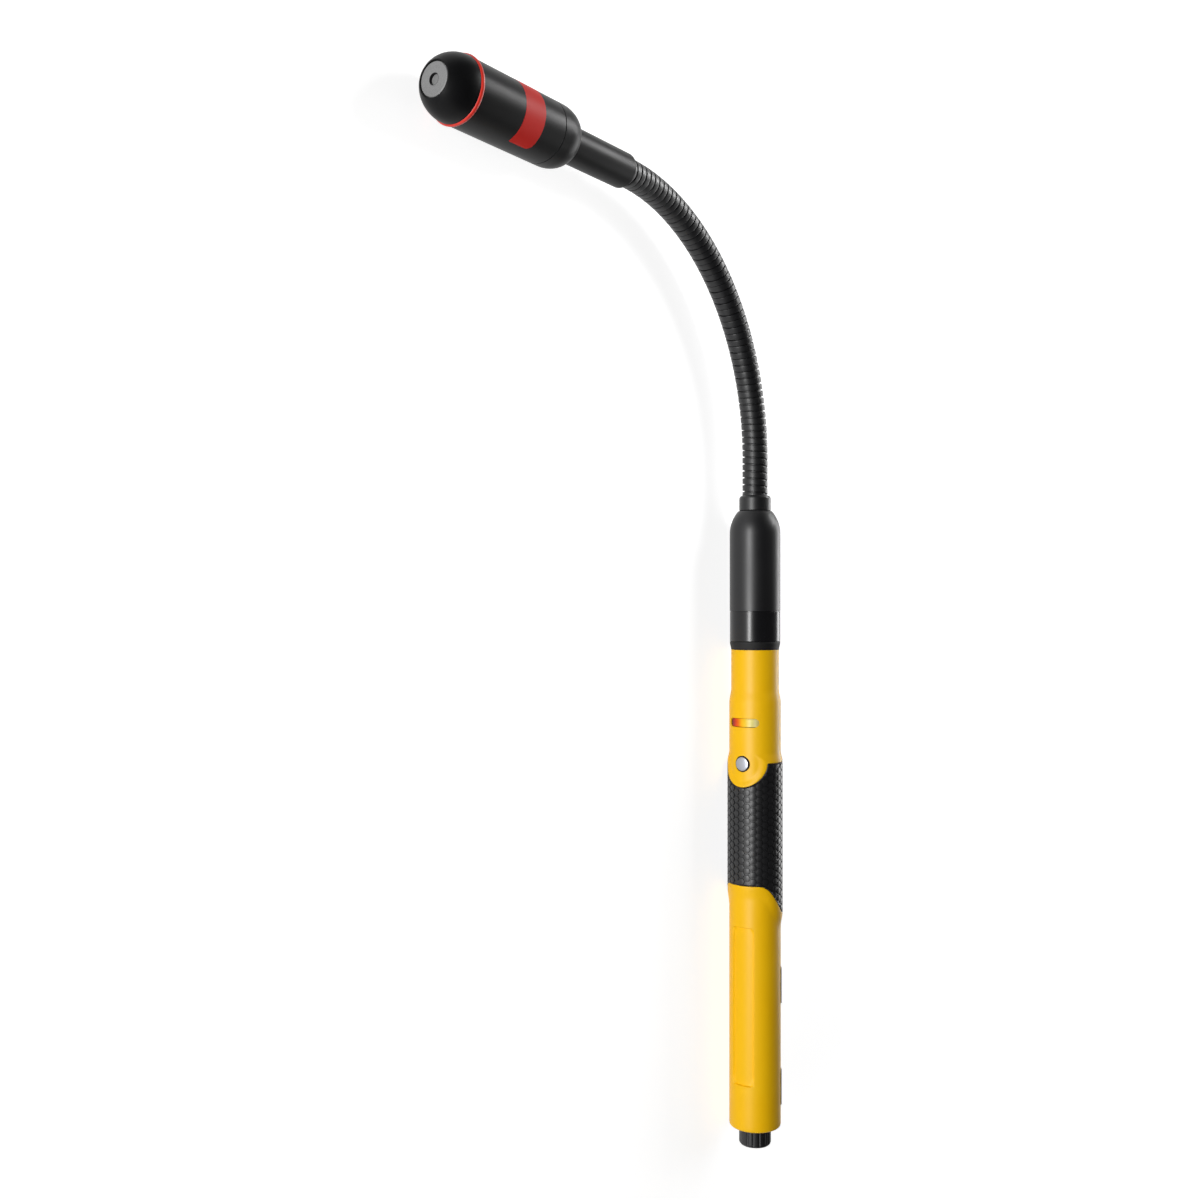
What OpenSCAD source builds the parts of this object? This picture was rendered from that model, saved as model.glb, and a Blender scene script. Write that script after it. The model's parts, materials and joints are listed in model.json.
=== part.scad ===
// Pen-shaped refrigerant leak detector with a bending neck, lying on its side.
// The handle runs along +Y, the front of the handle faces -X and the neck bends towards -X.

/* [Handle] */
// Radius of the handle housing
body_r = 12.8; // [11.8:0.1:15]
// Wall of the handle housing
wall = 1.8; // [1.5:0.1:2.2]
// Length of the housing below the grip, along the front
lower_len = 121.3; // [112:0.5:140]
// Wall across the butt end of the housing
end_wall = 3; // [2:0.25:5]
// Rounding of the housing's butt edge
butt_round = 1.25; // [0.5:0.05:1.5]
// Length of the straight body above the flare
upper_len = 24; // [20:0.5:32]
// Length of the taper below the top
taper_len = 7; // [4:0.5:12]
// Step in radius from the body to the top
top_step = 0.95; // [0.4:0.05:1.4]
// Length of the narrow top
top_len = 19.3; // [17:0.1:28]

/* [Grip] */
// Length of the grip along the front
grip_len = 60.4; // [50:0.2:80]
// Thickness of the rubber grip
grip_thick = 0.95; // [0.7:0.05:1.6]
// Drop of the grip's lower edge from front to back
wave_drop = 15; // [8:0.5:22]
// Depth from the front at which the lower edge starts to drop
wave_inset = 1.8; // [0.5:0.1:4]
// Run from front to back over which the lower edge drops
wave_run = 17; // [12:0.5:20]
// Length of the tapered lip below the grip
lip_len = 7; // [4:0.5:10]
// Width of the flare along the grip's upper edge
flare_len = 5.25; // [3:0.25:6]
// Depth of the lip and the flare below the grip's surface
lip_sunk = 0.08; // [0.05:0.01:0.2]

/* [Label recess] */
// Width of the recess
recess_w = 11.6; // [8:0.1:14]
// Length of the recess
recess_len = 77.8; // [60:0.2:90]
// Depth of the recess
recess_depth = 0.45; // [0.2:0.05:0.7]
// Corner radius of the recess
recess_corner = 2; // [1:0.1:4]
// Distance of the recess from the butt end of the housing
recess_rise = 22.7; // [18:0.1:28]

/* [Rear pads] */
// Length of each pad along the handle
pad_len = 18.2; // [12:0.2:22]
// Arc that each pad covers, in degrees
pad_arc = 136; // [90:1:150]
// Thickness of each pad
pad_thick = 0.9; // [0.7:0.05:1.1]
// Height of each pad above the housing
pad_proud = 0.4; // [0.2:0.05:0.55]
// Distance of the lower pad from the butt end of the housing
pad_rise = 10; // [6:0.5:16]
// Distance from the lower pad to the upper one
pad_pitch = 50.6; // [40:0.2:56]

/* [Power button] */
// Radius of the button
button_r = 3.5; // [2.8:0.1:4.2]
// Gap around the button
button_gap = 0.35; // [0.25:0.05:0.5]
// Height of the button above the housing
button_proud = 0.6; // [0.3:0.05:1]
// Travel of the button
button_travel = 0.8; // [0.5:0.05:0.9]
// Distance of the button's centre below the grip's upper edge
button_drop = 0.45; // [0:0.05:3]
// Radius of the tongue around the button
tongue_r = 11.4; // [9.5:0.1:12]
// Height of the switch on the circuit board
switch_h = 2.6; // [2:0.1:3]

/* [Indicator window] */
// Width of the window across the front
window_w = 15.7; // [12:0.1:17]
// Height of the window
window_h = 4.4; // [3.5:0.1:5.5]
// Distance of the window above the flare
window_rise = 14.5; // [11:0.1:17]
// Height of the light diodes behind the window
diode_h = 3; // [2:0.1:3.2]

/* [Circuit board] */
// Thickness of the boards
board_t = 1.6; // [1:0.1:2]
// Depth of the main board's front face in front of the handle's axis
board_front = 4.8; // [4:0.1:5.2]
// Radius of the sounder
sounder_r = 6; // [4.5:0.1:6.3]
// Height of the sounder
sounder_h = 3.5; // [2.5:0.1:3.8]

/* [Battery cap and cells] */
// Radius of the ribbed cap
cap_r = 7.9; // [7.6:0.1:9.5]
// Length of the cap outside the housing
cap_len = 9.2; // [7.5:0.1:14]
// Ribs around the cap
cap_ribs = 16; // [12:1:20]
// Rounding of the cap's outer edge
cap_round = 1.5; // [0.6:0.1:2]
// Radius of the cap's stem
stem_r = 6.9; // [6.6:0.05:7.1]
// Wall of the cap's stem
stem_wall = 1.4; // [1:0.1:1.6]
// Radius of a battery cell
cell_r = 5.25; // [4.8:0.05:5.5]
// Length of a battery cell
cell_len = 44.5; // [40:0.1:46]
// Wire of the battery spring
spring_wire = 0.7; // [0.5:0.05:0.9]
// Turns of the battery spring
spring_turns = 5; // [4:1:6]

/* [Neck coupling] */
// Length of the chamfered seal
seal_len = 4.2; // [3:0.1:6]
// Radius of the coupling ring
ring_r = 12.55; // [12.2:0.05:14]
// Length of the coupling ring
ring_len = 14.8; // [11:0.1:20]
// Radius of the sleeve above the ring
sleeve_r = 12.6; // [12.2:0.05:14]
// Length of the sleeve with its dome
sleeve_len = 49.7; // [42:0.1:60]
// Length of the sleeve's dome
dome_len = 11.2; // [7:0.1:14]
// Radius of the dome's flat end
dome_end_r = 8.5; // [8.4:0.1:10]
// Radius of the collar at the foot of the neck
collar_r = 7.85; // [7.5:0.05:8.5]
// Length of the collar
collar_len = 7.5; // [6.5:0.1:11]

/* [Neck] */
// Radius of the neck
neck_r = 6.27; // [6:0.01:6.5]
// Pitch of the neck's turns
turn_pitch = 3.425; // [3.3:0.005:4]
// Gap between two turns
turn_gap = 0.72; // [0.7:0.01:0.9]
// Depth of the groove between two turns
groove_depth = 0.65; // [0.4:0.05:0.75]
// Bend of the whole neck as it lies, in degrees
neck_bend = 88.6; // [70:0.1:100]
// Radius of the wire passage
passage_r = 3.2; // [2.5:0.1:3.5]
// Length of the spigot that reaches into the piece below
spigot_len = 1.6; // [1.2:0.05:1.8]

/* [Sensor head] */
// Radius of the head
head_r = 12.9; // [12.2:0.05:14]
// Wall of the head
head_wall = 1.6; // [1.4:0.05:2]
// Radius of the tube between neck and head
ferrule_r = 7.6; // [7.4:0.05:8.2]
// Length of the tube between neck and head
ferrule_len = 42.5; // [34:0.1:52]
// Length of the head's rounded rear shell
shell_len = 13.95; // [12:0.05:18]
// Length of the rear shell's rounding
shell_round = 9; // [6:0.1:10]
// Length of the barrel
barrel_len = 49; // [44:0.1:60]
// Width of the seal ring
seal_ring_w = 1.5; // [1.2:0.05:1.8]
// Height of the seal ring above the barrel
seal_ring_proud = 0.2; // [0.1:0.05:0.25]
// Length of the domed nose
nose_len = 11.55; // [9:0.05:14]
// Radius of the filter disc
disc_r = 6.7; // [6:0.05:7.5]
// Thickness of the filter disc
disc_t = 1.8; // [1.4:0.1:2.5]
// Rim of the nose around the filter disc
nose_rim = 0.5; // [0.3:0.05:1]
// Radius of the dimple in the filter disc
dimple_r = 2.4; // [1.5:0.1:3]
// Width of the head label
label_w = 11.8; // [9:0.1:15]
// Distance of the head label from the seal ring
label_back = 24.2; // [20:0.1:28]
// Arc that the head label covers, in degrees
label_arc = 144; // [100:1:160]
// Depth of the head label's recess
label_depth = 0.4; // [0.3:0.05:0.6]

/* [Hidden] */
$fn = 96;
// Gap of pieces that are fixed together, and of pieces that run past each other
seam = 0.05;
play = 0.3;
// Overlap that keeps cutting bodies clear of the faces they cut
past = 1;

// Neck: joints at rest follow a polygon around the bend
joint_count = 26;
joint_step = neck_bend / joint_count;
link_turns = 2;
link_len = link_turns * turn_pitch;
root_turns = 8;
root_len = root_turns * turn_pitch;
turn_edge = 0.45;
groove_r = neck_r - groove_depth;
spigot_r = groove_r - 1.0;
socket_r = spigot_r + 0.5;
socket_depth = turn_gap / 2 + spigot_len + 0.8;
tail_len = 5;

// Stations along the handle, counted from the outer end of the cap
z_base = cap_len + play;
z_wave = z_base + lower_len;
z_grip_top = z_wave + grip_len;
z_upper = z_grip_top + flare_len;
z_taper = z_upper + upper_len;
z_top = z_taper + taper_len;
z_seal = z_top + top_len;
z_ring = z_seal + seal_len;
z_sleeve = z_ring + ring_len + play;
z_dome = z_sleeve + sleeve_len - dome_len;
z_collar = z_sleeve + sleeve_len + play;
z_neck = z_collar + collar_len;
root_sunk = 6;
z_root = z_neck - root_sunk;
z_joint = z_root + root_len;

// Radii of the handle
grip_r = body_r + grip_thick;
lip_r = grip_r - lip_sunk;
bore_r = body_r - wall;
top_r = body_r - top_step;
top_bore_r = top_r - wall;
z_button = z_grip_top - button_drop;
z_window = z_upper + window_rise;

// Battery stack
stem_len = 8.6;
stem_bore_r = stem_r + play;
cap_floor = 3;
z_cell_1 = cap_len + stem_len + play;
z_cell_2 = z_cell_1 + cell_len + play;
z_contact = z_cell_2 + cell_len + play;
contact_t = 0.8;
z_tube = z_base + end_wall + play;
z_tube_top = z_contact + contact_t + 1.4;
terminal_r = 1.9;
terminal_h = 1.2;

// Main board
z_board = z_tube_top + 2;
z_board_top = z_taper - play;
board_w = 2 * (sqrt(bore_r * bore_r - board_front * board_front) - play);

// Neck plug and socket
core_r = min(top_bore_r, ring_r - 2) - 1.2;
plug_r = sleeve_r - 2.3;

// Head, counted from the last joint
h_ferrule = link_len - 0.85;
h_shell = h_ferrule + ferrule_len;
h_barrel = h_shell + shell_len;
h_ring = h_barrel + barrel_len;
h_nose = h_ring + seal_ring_w;
h_tip = h_nose + nose_len;
head_bore_r = head_r - head_wall;
shell_end_r = ferrule_r + 0.6;
tenon_len = 4;
spigot_in = 6;
ring_mid_r = head_r + seal_ring_proud - seal_ring_w / 2;
tip_r = disc_r + nose_rim;
sensor_r = disc_r - 2;

// Direction after the given bend, and place of a joint, in the handle's frame
function heading(a) = [-sin(a), 0, cos(a)];
function joint_at(i) =
    i <= 1 ? [0, 0, z_joint] : joint_at(i - 1) + link_len * heading((i - 1) * joint_step);

// Outer box, which sets the origin below its middle
head_base = joint_at(joint_count);
tip = head_base + h_tip * heading(neck_bend);
crown = head_base + (h_ring + seal_ring_w / 2) * heading(neck_bend);
x_low = tip[0] - tip_r * abs(cos(neck_bend));
x_high = grip_r;
y_high = crown[2] + ring_mid_r * abs(sin(neck_bend)) + seal_ring_w / 2;
x_mid = (x_low + x_high) / 2;
y_mid = y_high / 2;

function link_name(i) = str("neck_link_", i < 10 ? "0" : "", i);

// Frames: the handle's own axis becomes +Y, and each link stands on its joint
module in_handle(z = 0) {
    translate([-x_mid, -y_mid, grip_r]) rotate([-90, 0, 0]) translate([0, 0, z]) children();
}
module in_link(i) {
    in_handle() translate(joint_at(i)) rotate([0, -i * joint_step, 0]) children();
}
module in_head(z = 0) {
    in_link(joint_count) translate([0, 0, z]) children();
}
// Turns a shape so that it looks out of the handle's front, its own X along the handle
module facing_front(z) {
    translate([0, 0, z]) rotate([0, -90, 0]) children();
}

// Shared shapes
function arc(cr, cz, rr, rz, a0, a1, n = 8) =
    [for (k = [0:n]) let (a = a0 + (a1 - a0) * k / n) [cr + rr * cos(a), cz + rz * sin(a)]];
// Radius of an arc that starts level and drops by the given amount over the given run
function arc_radius(run, drop) = (run * run + drop * drop) / (2 * drop);
module ring(r_in, r_out, len) {
    rotate_extrude() translate([r_in, 0]) square([r_out - r_in, len]);
}
module slab(len, w, corner) {
    square([len - 2 * corner, w], center = true);
    square([len, w - 2 * corner], center = true);
    for (sx = [-1, 1], sy = [-1, 1])
        translate([sx * (len / 2 - corner), sy * (w / 2 - corner)]) circle(corner);
}
module arc_plate(r_in, r_out, sweep, len, edge = 0) {
    rotate([0, 0, -sweep / 2]) rotate_extrude(angle = sweep)
        polygon([[r_in, 0], [r_out - edge, 0], [r_out, edge], [r_out, len - edge], [r_out - edge, len], [r_in, len]]);
}

// Lower edge of the grip: it drops smoothly from the front to the back
function ease(t) = let (u = min(max(t, 0), 1)) u * u * (3 - 2 * u);
function wave(x) = z_wave - wave_drop * ease((x + body_r - wave_inset) / wave_run);

// Faces of a closed ring of n sections with the given number of points each
function ring_faces(n, size) = [for (k = [0:n - 1], j = [0:size - 1]) let (
    a = size * k + j,
    b = size * k + (j + 1) % size,
    c = size * ((k + 1) % n) + (j + 1) % size,
    d = size * ((k + 1) % n) + j
) each [[a, c, b], [a, d, c]]];
// Tapered lip that follows the grip's lower edge around the housing
module grip_lip() {
    n = 72;
    hidden_r = body_r - wall / 2;
    low_r = body_r - seam;
    points = [for (k = [0:n - 1]) let (a = 360 * k / n, x = -cos(a), y = sin(a)) each [
        [hidden_r * x, hidden_r * y, wave(body_r * x) - lip_len],
        [low_r * x, low_r * y, wave(body_r * x) - lip_len],
        [lip_r * x, lip_r * y, wave(lip_r * x)],
        [hidden_r * x, hidden_r * y, wave(hidden_r * x)]
    ]];
    polyhedron(points, ring_faces(n, 4));
}
// Lower edge of the tongue under the button, at a given distance from the front plane
function dip(y) = z_button - sqrt(max(0, tongue_r * tongue_r - y * y));
// Share of the flare's height at a place on the housing, which falls away from the grip's upper edge
function flare(y, z) = let (
    inside = tongue_r - sqrt(y * y + (z - z_button) * (z - z_button)),
    depth = max(z - z_grip_top, inside)
) 1 - ease(depth / flare_len);
// Flare that follows the grip's upper edge around the housing and the button
module grip_flare() {
    rows = 8;
    sides = 30;
    nick = 0.2;
    corner = asin(tongue_r / lip_r);
    hidden_r = body_r - wall / 2;
    foot_r = body_r - 2 * seam;
    front = [for (k = [0:sides]) corner * (2 * k / sides - 1)];
    back = [for (k = [0:2 * sides]) corner + nick + (180 - corner - nick) * k / sides];
    columns = concat(
        [for (a = front) [a, dip(lip_r * sin(a)), dip(hidden_r * sin(a))]],
        [for (a = back) [a, z_grip_top, z_grip_top]]
    );
    points = [for (c = columns) let (x = -cos(c[0]), y = sin(c[0])) each concat(
        [[hidden_r * x, hidden_r * y, c[2]]],
        [for (j = [0:rows]) let (
            z = c[1] + (z_upper - c[1]) * j / rows,
            r = foot_r + (lip_r - foot_r) * flare(lip_r * y, z)
        ) [r * x, r * y, z]],
        [[hidden_r * x, hidden_r * y, z_upper]]
    )];
    polyhedron(points, ring_faces(len(columns), rows + 3));
}
// Everything below the grip's lower edge
module below_wave(lift) {
    reach = grip_r + past;
    n = 32;
    low = z_wave - wave_drop - lip_len;
    edge = [for (k = [0:n]) let (x = -reach + 2 * reach * k / n) [x, wave(x) + lift]];
    translate([0, reach, 0]) rotate([90, 0, 0]) linear_extrude(2 * reach)
        polygon(concat(edge, [[reach, low], [-reach, low]]));
}

// Moulded housing with lip and flare, open at the top
module handle_housing() {
    color("#f8bc14") in_handle() difference() {
        union() {
            rotate_extrude() polygon(concat(
                [[0, z_base]],
                arc(body_r - butt_round, z_base + butt_round, butt_round, butt_round, -90, 0),
                [[body_r, z_taper], [top_r, z_top], [top_r, z_seal], [0, z_seal]]
            ));
            grip_lip();
            grip_flare();
        }
        translate([0, 0, z_base - past]) cylinder(r = stem_bore_r, h = end_wall + 2 * past);
        translate([0, 0, z_base + end_wall]) cylinder(r = bore_r, h = z_taper - z_base - end_wall);
        translate([0, 0, z_taper - past]) cylinder(r = top_bore_r, h = z_seal - z_taper + 2 * past);
        facing_front(z_button) cylinder(r = button_r + button_gap, h = grip_r + past);
        facing_front(z_window) linear_extrude(grip_r + past) slab(window_h, window_w, window_h / 2 - seam);
        intersection() {
            facing_front(z_base + recess_rise + recess_len / 2)
                linear_extrude(grip_r + past) slab(recess_len, recess_w, recess_corner);
            translate([0, 0, z_base]) ring(body_r - recess_depth, grip_r + past, lower_len);
        }
        for (k = [0, 1]) translate([0, 0, z_base + pad_rise + k * pad_pitch - seam])
            arc_plate(body_r + pad_proud - pad_thick, grip_r + past, pad_arc + 0.4, pad_len + 2 * seam);
    }
}

// Rubber sleeve between the lip and the flare, cut out around the tongue
module grip_sleeve() {
    z_low = z_wave - wave_drop - past;
    edge = grip_thick / 4;
    color("#1c1c1c") in_handle() difference() {
        rotate_extrude() polygon([
            [body_r + seam, z_low],
            [grip_r, z_low],
            [grip_r, z_grip_top - seam - edge],
            [grip_r - edge, z_grip_top - seam],
            [body_r + seam, z_grip_top - seam]
        ]);
        below_wave(seam);
        facing_front(z_button) cylinder(r = tongue_r + seam, h = grip_r + past);
    }
}

// Anti-slip pads on the back
module rear_pad(k) {
    color("#262626") in_handle(z_base + pad_rise + k * pad_pitch)
        arc_plate(body_r + pad_proud - pad_thick + seam, body_r + pad_proud, pad_arc, pad_len, pad_proud * 0.8);
}
module rear_pad_lower() { rear_pad(0); }
module rear_pad_upper() { rear_pad(1); }

// Button, with a flange behind the wall, and what it presses
switch_top = board_front + switch_h;
flange_r = button_r + button_gap + 0.9;
flange_out = sqrt(bore_r * bore_r - flange_r * flange_r) - play;
flange_t = 0.6;
plunger_r = 1.6;
plunger_top = flange_out - flange_t - play;
plunger_sunk = 1;
module power_button() {
    face = body_r + button_proud;
    crown_h = 0.5;
    color("#bec3cd") in_handle() facing_front(z_button) rotate_extrude() polygon([
        [0, flange_out - flange_t],
        [flange_r, flange_out - flange_t],
        [flange_r, flange_out],
        [button_r, flange_out],
        [button_r, face - crown_h],
        [button_r - crown_h, face],
        [0, face]
    ]);
}
module switch_plunger() {
    color("#e8e8e0") in_handle() facing_front(z_button) translate([0, 0, switch_top - plunger_sunk])
        cylinder(r = plunger_r, h = plunger_top - switch_top + plunger_sunk);
}
module power_switch() {
    side = 6.2;
    color("#303030") in_handle() facing_front(z_button) translate([0, 0, board_front]) difference() {
        translate([-side / 2, -side / 2, 0]) cube([side, side, switch_h]);
        translate([0, 0, switch_h - plunger_sunk - button_travel - play])
            cylinder(r = plunger_r + 0.25, h = plunger_sunk + button_travel + play + past);
    }
}

// Main board with the sounder and the light diodes
module main_board() {
    color("#1e5c38") in_handle()
        translate([-board_front, -board_w / 2, z_board]) cube([board_t, board_w, z_board_top - z_board]);
}
module sounder() {
    z_sounder = z_board + 30;
    color("#202020") in_handle() facing_front(z_sounder) translate([0, 0, board_front]) difference() {
        cylinder(r = sounder_r, h = sounder_h);
        translate([0, 0, sounder_h - 0.8]) cylinder(r = 1.2, h = past + 0.8);
    }
}
module indicator_diodes() {
    count = 5;
    pitch = (window_w - 3) / count;
    color("#f4ead0") in_handle() facing_front(z_window) for (k = [0:count - 1])
        translate([-1.3, (k - (count - 1) / 2) * pitch - 1, board_front]) cube([2.6, 2, diode_h]);
}
module indicator_window() {
    color("#f0e2c0") in_handle() intersection() {
        facing_front(z_window) linear_extrude(grip_r + past)
            slab(window_h - 2 * seam, window_w - 2 * seam, window_h / 2 - 2 * seam);
        translate([0, 0, z_window - window_h]) ring(bore_r, body_r - 0.15, 2 * window_h);
    }
}

// Battery tube, cells, contact, spring and cap
module battery_tube() {
    tube_r = bore_r - play / 2;
    cell_bore_r = cell_r + 0.25;
    color("#3a3a3a") in_handle() difference() {
        translate([0, 0, z_tube]) cylinder(r = tube_r, h = z_tube_top - z_tube);
        translate([0, 0, z_tube - past]) cylinder(r = stem_bore_r, h = z_cell_1 - z_tube + past);
        translate([0, 0, z_tube]) cylinder(r = cell_bore_r, h = z_tube_top - z_tube + past);
    }
}
module battery_cell(z) {
    color("#4a6a8c") in_handle(z) {
        cylinder(r = cell_r, h = cell_len - terminal_h);
        cylinder(r = terminal_r, h = cell_len);
    }
}
module battery_lower() { battery_cell(z_cell_1); }
module battery_upper() { battery_cell(z_cell_2); }
module battery_contact() {
    color("#c8b070") in_handle(z_contact) cylinder(r = cell_r, h = contact_t);
}
module battery_spring() {
    coil_r = stem_r - stem_wall - spring_wire - play;
    z_low = cap_floor + spring_wire / 2 + play;
    z_high = z_cell_1 - spring_wire / 2 - play;
    sides = 8;
    steps = 18 * spring_turns;
    points = [for (k = [0:steps], j = [0:sides - 1]) let (
        a = 360 * spring_turns * k / steps,
        b = 360 * j / sides,
        r = coil_r + spring_wire / 2 * cos(b)
    ) [r * cos(a), r * sin(a), z_low + (z_high - z_low) * k / steps + spring_wire / 2 * sin(b)]];
    walls = [for (k = [0:steps - 1], j = [0:sides - 1]) let (
        a = k * sides + j,
        b = k * sides + (j + 1) % sides
    ) each [[a, b + sides, b], [a, a + sides, b + sides]]];
    ends = [[for (j = [0:sides - 1]) j], [for (j = [sides - 1:-1:0]) steps * sides + j]];
    color("#b8b8b8") in_handle() polyhedron(points, concat(walls, ends));
}
// Groove of the cap's seal around the stem
seal_wire = 1;
z_cap_seal = cap_len + play + end_wall / 2;
module battery_cap() {
    rib_r = 0.7;
    color("#161616") in_handle() difference() {
        rotate_extrude() polygon(concat(
            [[0, 0]],
            arc(cap_r - cap_round, cap_round, cap_round, cap_round, -90, 0),
            [[cap_r, cap_len], [stem_r, cap_len], [stem_r, z_cap_seal - seal_wire / 2]],
            [[stem_r - seal_wire / 2, z_cap_seal - seal_wire / 2]],
            [[stem_r - seal_wire / 2, z_cap_seal + seal_wire / 2], [stem_r, z_cap_seal + seal_wire / 2]],
            [[stem_r, cap_len + stem_len], [0, cap_len + stem_len]]
        ));
        translate([0, 0, cap_floor]) cylinder(r = stem_r - stem_wall, h = cap_len + stem_len);
        for (k = [0:cap_ribs - 1]) rotate([0, 0, 360 * k / cap_ribs])
            translate([cap_r + rib_r * 0.4, 0, cap_round]) cylinder(r = rib_r, h = cap_len, $fn = 24);
    }
}
module cap_seal() {
    color("#303030") in_handle(z_cap_seal) rotate_extrude()
        translate([stem_r - seal_wire * 0.2 + seam, 0]) circle(seal_wire * 0.3, $fn = 24);
}

// Coupling between handle and neck
module coupling_seal() {
    color("#141414") in_handle(z_seal) rotate_extrude() polygon([
        [core_r + seam, seam],
        [top_r, seam],
        [ring_r, seal_len * 0.8],
        [ring_r, seal_len - seam],
        [core_r + seam, seal_len - seam]
    ]);
}
module coupling_ring() {
    edge = 0.4;
    color("#0c0c0c") in_handle(z_ring) rotate_extrude() polygon([
        [core_r + seam, 0],
        [ring_r - edge, 0],
        [ring_r, edge],
        [ring_r, ring_len - edge],
        [ring_r - edge, ring_len],
        [core_r + seam, ring_len]
    ]);
}
// Core that carries the coupling: a flange inside the housing and a tube up to the plug
socket_low = 12;
module handle_socket() {
    color("#2c2c2c") in_handle() difference() {
        union() {
            translate([0, 0, z_seal - socket_low]) cylinder(r = top_bore_r - seam, h = socket_low);
            translate([0, 0, z_seal - past]) cylinder(r = core_r, h = past + seal_len + ring_len + play);
        }
        translate([0, 0, z_seal - socket_low - past])
            cylinder(r = passage_r + 2, h = socket_low + seal_len + ring_len + 3 * past);
    }
}
plug_len = 20;
module neck_plug() {
    color("#2c2c2c") in_handle(z_sleeve + seam) difference() {
        cylinder(r = plug_r - seam, h = plug_len);
        translate([0, 0, -past]) cylinder(r = passage_r + 2, h = plug_len + 2 * past);
    }
}
module neck_sleeve() {
    dome_r = arc_radius(dome_len, sleeve_r - dome_end_r);
    color("#161616") in_handle() difference() {
        rotate_extrude() polygon(concat(
            [[0, z_sleeve], [sleeve_r, z_sleeve]],
            arc(sleeve_r - dome_r, z_dome, dome_r, dome_r, 0, asin(dome_len / dome_r), 10),
            [[0, z_dome + dome_len]]
        ));
        translate([0, 0, z_sleeve - past]) cylinder(r = plug_r, h = sleeve_len - dome_len + past);
        translate([0, 0, z_dome - 2 * past]) cylinder(r = groove_r, h = dome_len + 4 * past);
    }
}
module neck_collar() {
    edge = 1.2;
    color("#161616") in_handle(z_collar) rotate_extrude() polygon(concat(
        [[passage_r, 0], [collar_r, 0]],
        arc(collar_r - edge, collar_len - edge, edge, edge, 0, 90),
        [[neck_r + seam, collar_len], [neck_r + seam, collar_len - root_sunk]],
        [[passage_r, collar_len - root_sunk]]
    ));
}

// Neck: turns with rounded edges, hollow for the wires, each piece with a spigot into the one below
function turn(k) = let (low = k * turn_pitch + turn_gap / 2, high = (k + 1) * turn_pitch - turn_gap / 2) concat(
    [[groove_r, low]],
    arc(neck_r - turn_edge, low + turn_edge, turn_edge, turn_edge, -90, 0, 3),
    arc(neck_r - turn_edge, high - turn_edge, turn_edge, turn_edge, 0, 90, 3),
    [[groove_r, high]]
);
function spigot_end() = [
    [passage_r, -spigot_len],
    [spigot_r, -spigot_len],
    [spigot_r, turn_gap / 2]
];
function socket_end(len) = [
    [socket_r, len - turn_gap / 2],
    [socket_r, len - socket_depth],
    [passage_r, len - socket_depth]
];
function tail_end(len) = [
    [groove_r, len + tail_len],
    [passage_r, len + tail_len]
];
module neck_piece(turns, low_end, high_end) {
    color("#181818") rotate_extrude()
        polygon(concat(low_end, [for (k = [0:turns - 1]) each turn(k)], high_end));
}
module neck_root() {
    in_handle(z_root) neck_piece(root_turns, [[passage_r, turn_gap / 2]], socket_end(root_len));
}
module neck_link(i) {
    last = i == joint_count;
    in_link(i) neck_piece(link_turns, spigot_end(), last ? tail_end(link_len) : socket_end(link_len));
}

// Tube that carries the head on the neck's last turns
module neck_ferrule() {
    edge = 0.9;
    lap = link_len - h_ferrule;
    back = h_shell + shell_round - h_ferrule;
    color("#181818") in_head(h_ferrule) rotate_extrude() polygon(concat(
        [[neck_r + seam, 0]],
        arc(ferrule_r - edge, edge, edge, edge, -90, 0),
        [[ferrule_r, back], [passage_r, back], [passage_r, lap + tail_len + seam]],
        [[groove_r + seam, lap + tail_len + seam], [groove_r + seam, lap], [neck_r + seam, lap]]
    ));
}
// Rounded rear shell with a tenon inside the barrel
module head_rear_shell() {
    tenon_r = head_bore_r - seam;
    inner_r = tenon_r - head_wall;
    color("#161616") in_head() rotate_extrude() polygon(concat(
        [[ferrule_r + seam, h_shell]],
        [for (p = arc(shell_end_r, h_shell + shell_round, head_r - shell_end_r, shell_round, -90, 0, 10)) p],
        [[head_r, h_barrel], [tenon_r, h_barrel], [tenon_r, h_barrel + tenon_len]],
        [[inner_r, h_barrel + tenon_len], [inner_r, h_shell + shell_round + seam]],
        [[ferrule_r + seam, h_shell + shell_round + seam]]
    ));
}
label_z = h_ring - label_back;
module head_barrel() {
    seam_line = 0.2;
    color("#181818") in_head() difference() {
        translate([0, 0, h_barrel + seam_line]) ring(head_bore_r, head_r, barrel_len - seam_line);
        in_label_place(-seam) arc_plate(head_r - label_depth, head_r + past, label_arc + 0.4, label_w + 2 * seam);
    }
}
module in_label_place(shift) {
    translate([0, 0, label_z - label_w + shift]) rotate([0, 0, -90]) children();
}
module head_label() {
    color("#c32d28") in_head() in_label_place(0)
        arc_plate(head_r - label_depth + seam, head_r - seam, label_arc, label_w);
}
module head_seal_ring() {
    color("#d72d23") in_head(h_ring + seal_ring_w / 2) rotate_extrude()
        translate([ring_mid_r, 0]) circle(seal_ring_w / 2 - seam, $fn = 32);
}
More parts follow.
